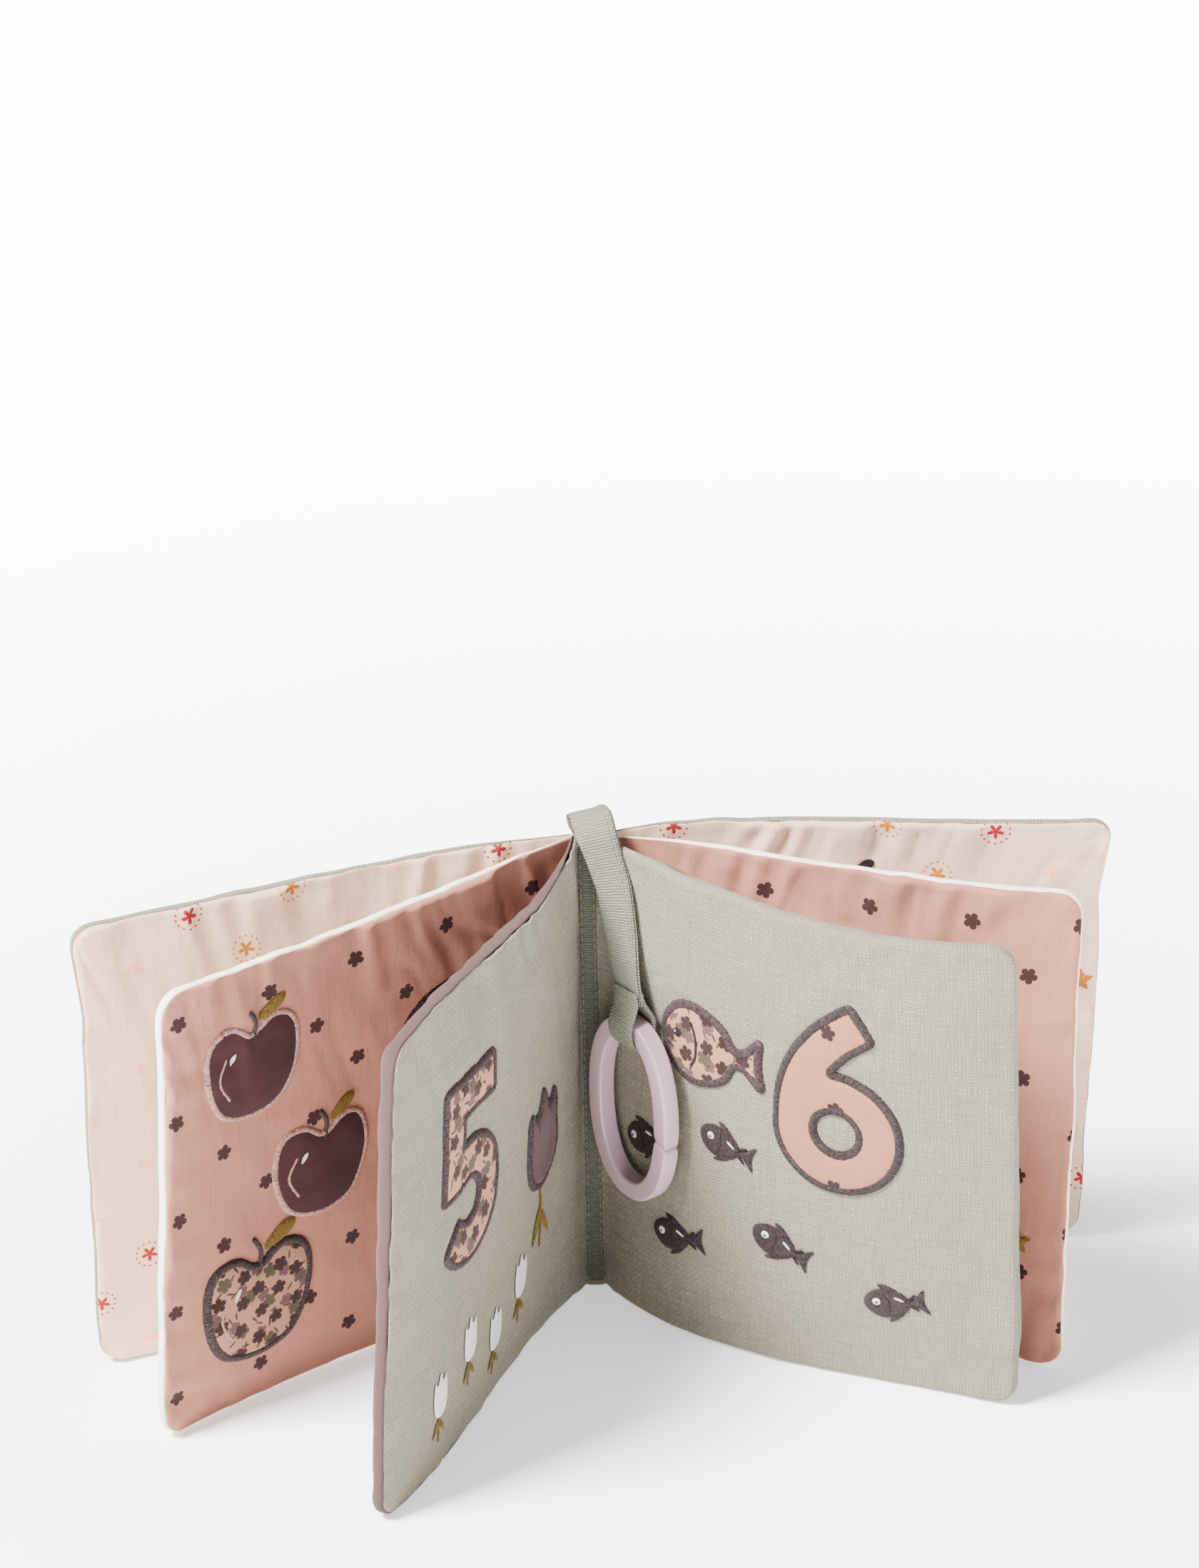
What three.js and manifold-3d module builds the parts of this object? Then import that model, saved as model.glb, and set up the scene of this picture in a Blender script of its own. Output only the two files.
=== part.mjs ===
// Baby soft book: three folios of padded cloth, sewn together down one spine and standing open at
// the middle spread. Millimetres, +Z up. The origin is the foot of the spine, +X is the reader's
// right and -Y points to the reader.
import * as THREE from 'three';
import { mergeVertices } from 'three/addons/utils/BufferGeometryUtils.js';
import { TessellateModifier } from 'three/addons/modifiers/TessellateModifier.js';
import Module from 'manifold-3d';

const wasm = await Module();
wasm.setup();

// Page sizes
const pageHeight = 170;
const leftCoverLength = 170;
const leftMiddleLength = 169;
const leftInnerLength = 161;
const rightInnerLength = 161;
const rightMiddleLength = 163;
const rightCoverLength = 169;
const cornerRadius = 8;

// Cloth and padding
const clothThickness = 0.45;
const seamGap = 0.3;
const leafThickness = 8;
const edgeThickness = 5.6;
const edgeRound = 2.6;
const rootReach = 50;
const crownReach = 28;
const paddingStart = 16;

// Spine
const hingeSpread = 4.9;
const folioPitch = 1.8;
const swingClearance = 1.8;
const tapeWidth = 5.9;
const tapeThickness = 1;
const tapeShortfall = 2.8;
const bandCorner = 0.4;

// Strap and link
const strapWidth = 12.5;
const strapThickness = 1.8;
const strapPeakRise = 10.4;
const strapReachRight = 13.9;
const strapReachFront = 27;
const strapDrop = 67;
const strapTurnShare = 0.589;
const strapTiltShare = 0.155;
const loopWall = 1.5;
const loopClearance = 1.05;
const loopStraight = 4;
const linkLength = 69;
const linkWidth = 43;
const linkSection = 6.5;
const linkCorner = 1.5;
const linkSag = 0.5;
const slitWidth = 0.5;
const slitDrop = 8.5;

// Number and picture patches
const numberHeight = 70;
const numberWidth = 46;
const numberStroke = 16;
const patchThickness = 0.8;
const patchGap = 0.6;
const patchEdge = 14;

const quarterTurn = Math.PI / 2;

// Colours of the cloths, the pad and the link
const looks = {
  linen: { color: 0xbdbab0, roughness: 0.95 },
  cream: { color: 0xe6d8d0, roughness: 0.9 },
  offWhite: { color: 0xedebe4, roughness: 0.95 },
  pink: { color: 0xddaa9b, roughness: 0.9 },
  mauve: { color: 0xa98a8a, roughness: 0.9 },
  plum: { color: 0x5a3a3e, roughness: 0.85 },
  floral: { color: 0xd9a08f, roughness: 0.9 },
  ochre: { color: 0xc08a3c, roughness: 0.9 },
  wadding: { color: 0xf4f2ec, roughness: 1 },
  webbing: { color: 0xb6b8ac, roughness: 0.95 },
  link: { color: 0xd5c1ce, roughness: 0.35 },
};

// The leaves' headings at the spine, at half their length and at their outer edge, along the lower
// and the upper edge, as shares of a quarter turn: from -Y, positive to the right
const leafTurnShares = {
  left_cover: { foot: [-0.8878, -0.8022, -0.7933], head: [-0.87, -0.74, -0.74] },
  left_middle: { foot: [-0.7411, -0.6133, -0.4822], head: [-0.5144, -0.5478, -0.5433] },
  left_inner: { foot: [-0.38, -0.2189, -0.3656], head: [-0.07, -0.2733, -0.1944] },
  right_inner: { foot: [0.2856, 0.7122, 0.6889], head: [0.5022, 0.5544, 1.0089] },
  right_middle: { foot: [0.8656, 0.7256, 0.7133], head: [0.9244, 0.7322, 0.9411] },
  right_cover: { foot: [1.3456, 1.0733, 0.9144], head: [1.2844, 0.9333, 1.0667] },
};

// The leaves, with the cloths of their outer and inner face. Folio 0 is the middle spread's.
const leaves = {
  left_cover: { side: -1, folio: 2, length: leftCoverLength, outer: 'linen', inner: 'cream' },
  left_middle: { side: -1, folio: 1, length: leftMiddleLength, outer: 'offWhite', inner: 'pink' },
  left_inner: { side: -1, folio: 0, length: leftInnerLength, outer: 'mauve', inner: 'linen' },
  right_inner: { side: 1, folio: 0, length: rightInnerLength, outer: 'mauve', inner: 'linen' },
  right_middle: { side: 1, folio: 1, length: rightMiddleLength, outer: 'offWhite', inner: 'pink' },
  right_cover: { side: 1, folio: 2, length: rightCoverLength, outer: 'linen', inner: 'cream' },
};
for (const [name, leaf] of Object.entries(leaves)) {
  leaf.turnShares = leafTurnShares[name];
}

const rootHalf = clothThickness + seamGap / 2;
const outlineInset = edgeRound;
const arcSteps = 24;

function smooth(x) {
  const t = Math.min(Math.max(x, 0), 1);
  return t * t * (3 - 2 * t);
}

// The heading's smooth curve through its three stations
function turnAt(stations, t) {
  const [start, middle, end] = stations;
  const bend = 2 * start - 4 * middle + 2 * end;
  const rise = 4 * middle - 3 * start - end;
  return start + rise * t + bend * t * t;
}

function headingOf(leaf, s, z) {
  const t = s / leaf.length;
  const foot = turnAt(leaf.turnShares.foot, t);
  const head = turnAt(leaf.turnShares.head, t);
  return THREE.MathUtils.lerp(foot, head, z / pageHeight) * quarterTurn;
}

// The point s along a leaf, z up it and n out of its middle towards the middle spread
function leafPoint(leaf, s, z, n) {
  let x = leaf.side * hingeSpread;
  let y = (leaf.folio - 1) * folioPitch;
  for (let i = 0; i < arcSteps; i++) {
    const heading = headingOf(leaf, (s * (i + 0.5)) / arcSteps, z);
    x += (Math.sin(heading) * s) / arcSteps;
    y -= (Math.cos(heading) * s) / arcSteps;
  }
  const heading = headingOf(leaf, s, z);
  x -= leaf.side * Math.cos(heading) * n;
  y -= leaf.side * Math.sin(heading) * n;
  return new THREE.Vector3(x, y, z);
}

// Half the leaf's thickness: thin at the spine, drawn in along the other edges, crowned between
function halfThickness(leaf, s, z) {
  const toEdge = Math.min(z, pageHeight - z, leaf.length - s);
  const crown = smooth(toEdge / crownReach);
  const body = THREE.MathUtils.lerp(edgeThickness, leafThickness, crown) / 2;
  return THREE.MathUtils.lerp(rootHalf, body, smooth(s / rootReach));
}

// Places along a leaf, inside its rounded outline: near the spine, across it, round the corners
const rootStationShares = [0, 0.16, 0.4, 0.76];
const middleSteps = 5;
const cornerSteps = 2;
const heightSteps = 4;

function stationsOf(leaf, start) {
  const end = leaf.length - outlineInset;
  const cornerStart = leaf.length - cornerRadius;
  const near = rootStationShares.map((share) => share * rootReach).filter((s) => s > start);
  const last = near[near.length - 1];
  const stations = [start, ...near];
  for (let i = 1; i <= middleSteps; i++) {
    stations.push(THREE.MathUtils.lerp(last, cornerStart, i / middleSteps));
  }
  for (let i = 1; i <= cornerSteps; i++) {
    const angle = quarterTurn * (i / cornerSteps);
    stations.push(cornerStart + (end - cornerStart) * Math.sin(angle));
  }
  return stations;
}

// A sheet over the leaf's outline: a grid, and rings of points round its three free edges. place
// turns (s, z, ring, half thickness) into the point's (outward step, n).
function leafSheet(leaf, start, rings, place) {
  const stations = stationsOf(leaf, start);
  const columns = stations.length;
  const rows = heightSteps + 1;
  const round = cornerRadius - outlineInset;
  const cornerCentre = leaf.length - cornerRadius;
  const grid = stations.map((s) => {
    const into = Math.max(s - cornerCentre, 0);
    const drawn = round - Math.sqrt(Math.max(round * round - into * into, 0));
    const low = outlineInset + drawn;
    const high = pageHeight - low;
    return Array.from({ length: rows }, (_, j) => ({ s, z: THREE.MathUtils.lerp(low, high, j / heightSteps) }));
  });
  const rim = [];
  const cornerWay = (s, z, centreZ) => ({ s: (s - cornerCentre) / round, z: (z - centreZ) / round });
  for (let i = 0; i < columns; i++) {
    const { s, z } = grid[i][0];
    const out = s > cornerCentre ? cornerWay(s, z, cornerRadius) : { s: 0, z: -1 };
    rim.push({ i, j: 0, out });
  }
  for (let j = 1; j < rows; j++) {
    rim.push({ i: columns - 1, j, out: { s: 1, z: 0 } });
  }
  for (let i = columns - 2; i >= 0; i--) {
    const { s, z } = grid[i][rows - 1];
    const out = s > cornerCentre ? cornerWay(s, z, pageHeight - cornerRadius) : { s: 0, z: 1 };
    rim.push({ i, j: rows - 1, out });
  }
  const points = [];
  for (const column of grid) {
    for (const { s, z } of column) {
      const { n } = place(halfThickness(leaf, s, z), 0);
      points.push(leafPoint(leaf, s, z, n));
    }
  }
  const index = (i, j) => i * rows + j;
  const ringStart = (k) => columns * rows + (k - 1) * rim.length;
  const rimIndex = (k, b) => (k === 0 ? index(rim[b].i, rim[b].j) : ringStart(k) + b);
  for (let k = 1; k <= rings; k++) {
    for (const { i, j, out } of rim) {
      const { s, z } = grid[i][j];
      const { step, n } = place(halfThickness(leaf, s, z), k);
      points.push(leafPoint(leaf, s + out.s * step, z + out.z * step, n));
    }
  }
  const faces = [];
  const quad = (a, b, c, d) => faces.push([a, b, c], [a, c, d]);
  for (let i = 0; i < columns - 1; i++) {
    for (let j = 0; j < rows - 1; j++) {
      quad(index(i, j), index(i + 1, j), index(i + 1, j + 1), index(i, j + 1));
    }
  }
  for (let k = 1; k <= rings; k++) {
    for (let b = 0; b < rim.length - 1; b++) {
      quad(rimIndex(k, b), rimIndex(k, b + 1), rimIndex(k - 1, b + 1), rimIndex(k - 1, b));
    }
  }
  const border = rim.map((_, b) => rimIndex(rings, b));
  for (let k = rings - 1; k >= 0; k--) {
    border.push(rimIndex(k, rim.length - 1));
  }
  for (let j = rows - 2; j >= 0; j--) {
    border.push(index(0, j));
  }
  for (let k = 1; k < rings; k++) {
    border.push(rimIndex(k, 0));
  }
  return { points, faces, border };
}

// A geometry from points and triangles, turned so that its faces point out
function closedGeometry(points, faces) {
  let volume = 0;
  for (const [a, b, c] of faces) {
    volume += points[a].dot(points[b].clone().cross(points[c]));
  }
  const turned = volume < 0 ? faces.map(([a, b, c]) => [a, c, b]) : faces;
  const geometry = new THREE.BufferGeometry().setFromPoints(points);
  geometry.setIndex(turned.flat());
  geometry.computeVertexNormals();
  return geometry;
}

// The closed solid between two sheets with the same layout
function betweenSheets(outside, inside) {
  const shift = outside.points.length;
  const points = [...outside.points, ...inside.points];
  const faces = [...outside.faces];
  for (const [a, b, c] of inside.faces) {
    faces.push([a + shift, c + shift, b + shift]);
  }
  outside.border.forEach((p, at) => {
    const q = outside.border[(at + 1) % outside.border.length];
    faces.push([p, p + shift, q + shift], [p, q + shift, q]);
  });
  return closedGeometry(points, faces);
}

// The outer cloth's section round an edge, from its back to the seam on the front: shares of the
// edge's rounding and of half the thickness. It stands on the flat part between the equal shares.
const wrapShares = [
  { out: 0, up: -1, inward: { out: 0, up: 1 } },
  { out: 0.72, up: -0.74, inward: { out: -0.6, up: 0.8 } },
  { out: 1, up: -0.3, inward: { out: -1, up: 0 } },
  { out: 1, up: 0.3, inward: { out: -1, up: 0 } },
  { out: 0.72, up: 0.74, inward: { out: 0, up: -0.8 } },
];
const faceRimShares = { out: 0.6, up: 0.83 };
const padRimShares = { out: 0.45, up: 0.5 };

function outerCloth(leaf) {
  const last = wrapShares.length - 1;
  const outside = leafSheet(leaf, 0, last, (half, k) => ({
    step: wrapShares[k].out * edgeRound,
    n: wrapShares[k].up * half,
  }));
  const inside = leafSheet(leaf, 0, last, (half, k) => ({
    step: wrapShares[k].out * edgeRound + wrapShares[k].inward.out * clothThickness,
    n: wrapShares[k].up * half + wrapShares[k].inward.up * clothThickness,
  }));
  return betweenSheets(outside, inside);
}

function innerCloth(leaf) {
  const rim = (half, k, depth) => ({
    step: k * faceRimShares.out * edgeRound,
    n: (k ? faceRimShares.up : 1) * half - depth,
  });
  const front = leafSheet(leaf, 0, 1, (half, k) => rim(half, k, 0));
  const back = leafSheet(leaf, 0, 1, (half, k) => rim(half, k, clothThickness));
  return betweenSheets(front, back);
}

function padding(leaf) {
  const half = (whole) => whole - clothThickness - seamGap;
  const side = (sign) => (whole, k) => ({
    step: k * padRimShares.out * edgeRound,
    n: sign * (k ? padRimShares.up : 1) * half(whole),
  });
  return betweenSheets(leafSheet(leaf, paddingStart, 1, side(1)), leafSheet(leaf, paddingStart, 1, side(-1)));
}

// A solid through a row of sections, each a loop of the same number of points
function loft(sections) {
  const around = sections[0].length;
  const points = sections.flat();
  const faces = [];
  for (let k = 0; k < sections.length - 1; k++) {
    for (let i = 0; i < around; i++) {
      const j = (i + 1) % around;
      const a = k * around + i;
      const b = k * around + j;
      faces.push([a, b, b + around], [a, b + around, a + around]);
    }
  }
  const last = (sections.length - 1) * around;
  for (let i = 1; i < around - 1; i++) {
    faces.push([0, i + 1, i], [last, last + i, last + i + 1]);
  }
  return closedGeometry(points, faces);
}

// An upright strip of stitched cloth
function uprightBand(width, thickness, height) {
  const shape = new THREE.Shape();
  const halfWidth = width / 2;
  const halfDepth = thickness / 2;
  shape.moveTo(-halfWidth + bandCorner, -halfDepth);
  shape.lineTo(halfWidth - bandCorner, -halfDepth);
  shape.lineTo(halfWidth, -halfDepth + bandCorner);
  shape.lineTo(halfWidth, halfDepth - bandCorner);
  shape.lineTo(halfWidth - bandCorner, halfDepth);
  shape.lineTo(-halfWidth + bandCorner, halfDepth);
  shape.lineTo(-halfWidth, halfDepth - bandCorner);
  shape.lineTo(-halfWidth, -halfDepth + bandCorner);
  return new THREE.ExtrudeGeometry(shape, { depth: height, bevelEnabled: false });
}

const root = new THREE.Group();

function addMesh(name, geometry, look, parent = root) {
  const mesh = new THREE.Mesh(geometry, new THREE.MeshStandardMaterial({ ...looks[look], metalness: 0 }));
  mesh.name = name;
  parent.add(mesh);
  return mesh;
}

function addLeaves() {
  for (const [name, leaf] of Object.entries(leaves)) {
    addMesh(`${name}_outer_cloth`, outerCloth(leaf), leaf.outer);
    addMesh(`${name}_padding`, padding(leaf), 'wadding');
    addMesh(`${name}_inner_cloth`, innerCloth(leaf), leaf.inner);
  }
}

function addSpine() {
  const bandThickness = folioPitch - seamGap;
  const coverWidth = 2 * (hingeSpread - rootHalf - seamGap);
  const innerWidth = 2 * (hingeSpread - swingClearance);
  const cover = addMesh('cover_gutter', uprightBand(coverWidth, bandThickness, pageHeight), 'linen');
  const middle = addMesh('middle_gutter', uprightBand(innerWidth, bandThickness, pageHeight), 'pink');
  const inner = addMesh('inner_gutter', uprightBand(innerWidth, bandThickness, pageHeight), 'linen');
  cover.position.y = folioPitch;
  middle.position.y = 0;
  inner.position.y = -folioPitch;
  const tapeHeight = pageHeight - 2 * tapeShortfall;
  const tape = addMesh('gutter_tape', uprightBand(tapeWidth, tapeThickness, tapeHeight), 'linen');
  tape.position.y = -folioPitch - bandThickness / 2 - seamGap - tapeThickness / 2;
  tape.position.z = tapeShortfall;
}

// A width direction, turned about Z and with its right end tilted up
function acrossAt(turn, tilt) {
  const level = Math.cos(tilt);
  return new THREE.Vector3(Math.cos(turn) * level, -Math.sin(turn) * level, Math.sin(tilt));
}

// A flat strap along a row of places, each with its own width direction
function strapAlong(places) {
  const centres = places.map(({ at }) => at);
  const sections = places.map(({ at, turn, tilt, width }, k) => {
    const before = centres[Math.max(k - 1, 0)];
    const after = centres[Math.min(k + 1, centres.length - 1)];
    const along = after.clone().sub(before).normalize();
    const across = acrossAt(turn, tilt);
    const out = across.clone().cross(along).normalize().multiplyScalar(strapThickness / 2);
    const side = across.multiplyScalar(width / 2);
    return [
      at.clone().add(side).add(out),
      at.clone().sub(side).add(out),
      at.clone().sub(side).sub(out),
      at.clone().add(side).sub(out),
    ];
  });
  return loft(sections);
}

const strapPeak = pageHeight + strapPeakRise;

// Shares of the strap's reach to the right, of its reach to the front, of its drop, of its turn and
// of its tilt
const hangingShares = [
  [0.16, 0.08, 0, 0, 1],
  [0.16, 0.2, 0.022, 0, 1],
  [0.19, 0.34, 0.084, 0.04, 1],
  [0.28, 0.41, 0.16, 0.1, 1],
  [0.43, 0.48, 0.26, 0.25, 0.9],
  [0.57, 0.56, 0.36, 0.45, 0.75],
  [0.74, 0.67, 0.57, 0.7, 0.4],
  [0.88, 0.84, 0.755, 0.93, 0.15],
  [0.97, 0.96, 0.876, 1, 0],
];

// The end that is sewn behind the head of the spine, rising to the peak: the same shares, and that
// of the strap's width
const tabShares = [
  [0, -0.139, 0.46, 0, 0, 0.62],
  [0, -0.139, 0.155, 0, 0, 0.62],
  [-0.12, -0.15, 0.1, 0, 0.4, 1],
  [-0.05, -0.13, 0.03, 0, 0.8, 1],
  [0.13, -0.06, 0.004, 0, 1, 1],
  [0.16, 0.03, 0, 0, 1, 1],
];

function strapPlaces(shares) {
  return shares.map(([right, front, drop, turn, tilt, width = 1]) => ({
    at: new THREE.Vector3(right * strapReachRight, -front * strapReachFront, strapPeak - drop * strapDrop),
    turn: turn * strapTurnShare * quarterTurn,
    tilt: tilt * strapTiltShare * quarterTurn,
    width: width * strapWidth,
  }));
}

// Along the loop's opening, square to it and up
function loopFrame() {
  const across = acrossAt(strapTurnShare * quarterTurn, 0);
  const up = new THREE.Vector3(0, 0, 1);
  const out = up.clone().cross(across);
  return { across, up, out };
}

const loopCentre = new THREE.Vector3(strapReachRight, -strapReachFront, strapPeak - strapDrop);
const loopArcPoints = 6;

// The strap's end, folded round the link and sewn to itself
function strapLoop() {
  const inner = linkSection / 2 + loopClearance;
  const outer = inner + loopWall;
  const straight = loopStraight / 2;
  const oval = (path, radius) => {
    path.absarc(0, straight, radius, 0, Math.PI, false);
    path.absarc(0, -straight, radius, Math.PI, 2 * Math.PI, false);
    path.closePath();
    return path;
  };
  const shape = oval(new THREE.Shape(), outer);
  shape.holes.push(oval(new THREE.Path(), inner));
  const options = { depth: strapWidth, bevelEnabled: false, curveSegments: loopArcPoints };
  const geometry = new THREE.ExtrudeGeometry(shape, options);
  geometry.translate(0, 0, -strapWidth / 2);
  const { across, up, out } = loopFrame();
  geometry.applyMatrix4(new THREE.Matrix4().makeBasis(out, up, across));
  return geometry.translate(loopCentre.x, loopCentre.y, loopCentre.z);
}

const linkSteps = 44;
const linkRoundness = 2.2;

// The section's corners: to the right, up and the quarter turns before it, and the places round each
const linkCornerShares = [[1, 1, 0], [-1, 1, 1], [-1, -1, 2], [1, -1, 3]];
const linkCornerStepShares = [0.1, 0.9];

// A rounded square section, in the plane of radial and flat
function linkLoop(centre, radial, flat) {
  const half = linkSection / 2;
  const straight = half - linkCorner;
  const loop = [];
  for (const [right, up, quarters] of linkCornerShares) {
    for (const share of linkCornerStepShares) {
      const angle = (quarters + share) * quarterTurn;
      const r = right * straight + Math.cos(angle) * linkCorner;
      const f = up * straight + Math.sin(angle) * linkCorner;
      loop.push(centre.clone().addScaledVector(radial, r).addScaledVector(flat, f));
    }
  }
  return loop;
}

// The oval link, open at its slit on the side that is nearer the reader
function linkRing() {
  const { across, up, out } = loopFrame();
  const a = (linkWidth - linkSection) / 2;
  const b = (linkLength - linkSection) / 2;
  const centre = loopCentre.clone().addScaledVector(up, -linkSag - b);
  const power = 2 / linkRoundness;
  const signed = (v) => Math.sign(v) * Math.abs(v) ** power;
  const pointAt = (angle) => centre.clone()
    .addScaledVector(across, a * signed(Math.cos(angle)))
    .addScaledVector(up, b * signed(Math.sin(angle)));
  const slitAngle = -Math.asin((slitDrop / b) ** (1 / power));
  const slitHalf = slitWidth / 2 / b;
  const sections = [];
  for (let k = 0; k <= linkSteps; k++) {
    const angle = slitAngle + slitHalf + (2 * Math.PI - 2 * slitHalf) * (k / linkSteps);
    const nudge = 0.001;
    const along = pointAt(angle + nudge).sub(pointAt(angle - nudge)).normalize();
    const radial = along.clone().cross(out).normalize();
    sections.push(linkLoop(pointAt(angle), radial, out));
  }
  return loft(sections);
}

function addStrap() {
  addMesh('strap_end_tab', strapAlong(strapPlaces(tabShares)), 'webbing');
  addMesh('hanging_strap', strapAlong(strapPlaces(hangingShares)), 'webbing');
  addMesh('strap_loop', strapLoop(), 'webbing');
  addMesh('link_ring', linkRing(), 'link');
}

// Flat solids to and from the joining library
function toSolid(geometry) {
  const bare = new THREE.BufferGeometry().setAttribute('position', geometry.getAttribute('position'));
  bare.setIndex(geometry.index);
  const merged = mergeVertices(bare);
  return new wasm.Manifold(new wasm.Mesh({
    numProp: 3,
    vertProperties: new Float32Array(merged.attributes.position.array),
    triVerts: new Uint32Array(merged.index.array),
  }));
}

function fromSolid(solid) {
  const { vertProperties, triVerts } = solid.getMesh();
  const geometry = new THREE.BufferGeometry();
  geometry.setAttribute('position', new THREE.BufferAttribute(new Float32Array(vertProperties), 3));
  geometry.setIndex(new THREE.BufferAttribute(new Uint32Array(triVerts), 1));
  return geometry;
}

// A numeral is made of strokes: a line or curve drawn with a broad flat pen
const strokeSteps = 7;

function strokeShape(path) {
  const points = path.getPoints(strokeSteps);
  const left = [];
  const right = [];
  points.forEach((p, k) => {
    const before = points[Math.max(k - 1, 0)];
    const after = points[Math.min(k + 1, points.length - 1)];
    const along = after.clone().sub(before).normalize();
    const side = new THREE.Vector2(-along.y, along.x).multiplyScalar(numberStroke / 2);
    left.push(p.clone().add(side));
    right.push(p.clone().sub(side));
  });
  return new THREE.Shape([...left, ...right.reverse()]);
}

const penHalf = numberStroke / 2;
const penX = numberWidth / 2 - penHalf;
const penY = numberHeight / 2 - penHalf;

function line(x1, y1, x2, y2) {
  return strokeShape(new THREE.LineCurve(new THREE.Vector2(x1, y1), new THREE.Vector2(x2, y2)));
}

function arc(x, y, radius, [from, to]) {
  const turn = 4 * quarterTurn;
  return strokeShape(new THREE.EllipseCurve(x, y, radius, radius, from * turn, to * turn, from > to));
}

function curve(x1, y1, cx, cy, x2, y2) {
  const [start, control, end] = [[x1, y1], [cx, cy], [x2, y2]].map(([x, y]) => new THREE.Vector2(x, y));
  return strokeShape(new THREE.QuadraticBezierCurve(start, control, end));
}

function ring(x, y, radiusX, radiusY) {
  const shape = new THREE.Shape();
  shape.absellipse(x, y, radiusX + penHalf, radiusY + penHalf, 0, 2 * Math.PI, false);
  const hole = new THREE.Path();
  hole.absellipse(x, y, radiusX - penHalf, radiusY - penHalf, 0, 2 * Math.PI, false);
  shape.holes.push(hole);
  return shape;
}

const halfTurn = ([x, y]) => [-x, -y];
const smallBowl = penX * 0.88;
const bowl = penX;

function sixStrokes(turned) {
  const to = (x, y) => (turned ? halfTurn([x, y]) : [x, y]);
  return [
    ring(...to(0, bowl - penY), bowl, bowl),
    curve(...to(-bowl, bowl - penY), ...to(-bowl, penY * 0.55), ...to(bowl * 0.75, penY + penHalf / 2)),
  ];
}

// The starts and ends of the bows, as shares of a turn
const bowShares = {
  two: [0.472, -0.097],
  threeTop: [0.444, -0.264],
  threeBottom: [0.264, -0.444],
  five: [0.356, -0.417],
};

const numeralStrokes = {
  0: () => [ring(0, 0, penX, penY)],
  1: () => [
    line(0, -penY - penHalf, 0, penY + penHalf),
    line(-penX, penY * 0.6, penHalf * 0.2, penY),
  ],
  2: () => [
    arc(0, penY - bowl, bowl, bowShares.two),
    line(bowl * 0.9, penY - bowl * 1.4, -penX * 0.8, -penY),
    line(-penX - penHalf, -penY, penX + penHalf, -penY),
  ],
  3: () => [
    arc(0, penY - smallBowl, smallBowl, bowShares.threeTop),
    arc(0, bowl - penY, bowl, bowShares.threeBottom),
  ],
  4: () => [
    line(penX * 0.1, penY + penHalf, -penX, -penY * 0.35),
    line(-penX - penHalf, -penY * 0.4, penX + penHalf, -penY * 0.4),
    line(penX * 0.45, penY * 0.35, penX * 0.45, -penY - penHalf),
  ],
  5: () => [
    line(penX + penHalf * 0.4, penY, -penX * 0.75 - penHalf, penY),
    line(-penX * 0.75, penY, -penX * 0.85, -penHalf * 0.8),
    arc(0, bowl - penY, bowl, bowShares.five),
  ],
  6: () => sixStrokes(false),
  7: () => [
    line(-penX - penHalf, penY, penX + penHalf, penY),
    line(penX, penY * 0.9, -penX * 0.4, -penY - penHalf),
  ],
  8: () => [
    ring(0, penY - smallBowl, smallBowl, smallBowl),
    ring(0, bowl - penY, bowl, bowl),
  ],
  9: () => sixStrokes(true),
};

const patchCurvePoints = 10;

function flatPatch(shapes) {
  const options = { depth: patchThickness, bevelEnabled: false, curveSegments: patchCurvePoints };
  const solids = shapes.map((shape) => toSolid(new THREE.ExtrudeGeometry(shape, options)));
  return fromSolid(solids.reduce((whole, next) => whole.add(next)));
}

// Picture shapes, drawn in a square from -1 to 1
function closedCurve(places) {
  const points = places.map(([x, y]) => new THREE.Vector2(x, y));
  const shape = new THREE.Shape();
  const middle = (a, b) => a.clone().add(b).multiplyScalar(0.5);
  const start = middle(points[points.length - 1], points[0]);
  shape.moveTo(start.x, start.y);
  points.forEach((p, k) => {
    const end = middle(p, points[(k + 1) % points.length]);
    shape.quadraticCurveTo(p.x, p.y, end.x, end.y);
  });
  return shape;
}

function starShape() {
  const points = [];
  for (let k = 0; k < 10; k++) {
    const angle = (1 + k * 0.4) * quarterTurn;
    const reach = k % 2 ? 0.45 : 1;
    points.push(new THREE.Vector2(Math.cos(angle) * reach, Math.sin(angle) * reach));
  }
  return new THREE.Shape(points);
}

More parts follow.
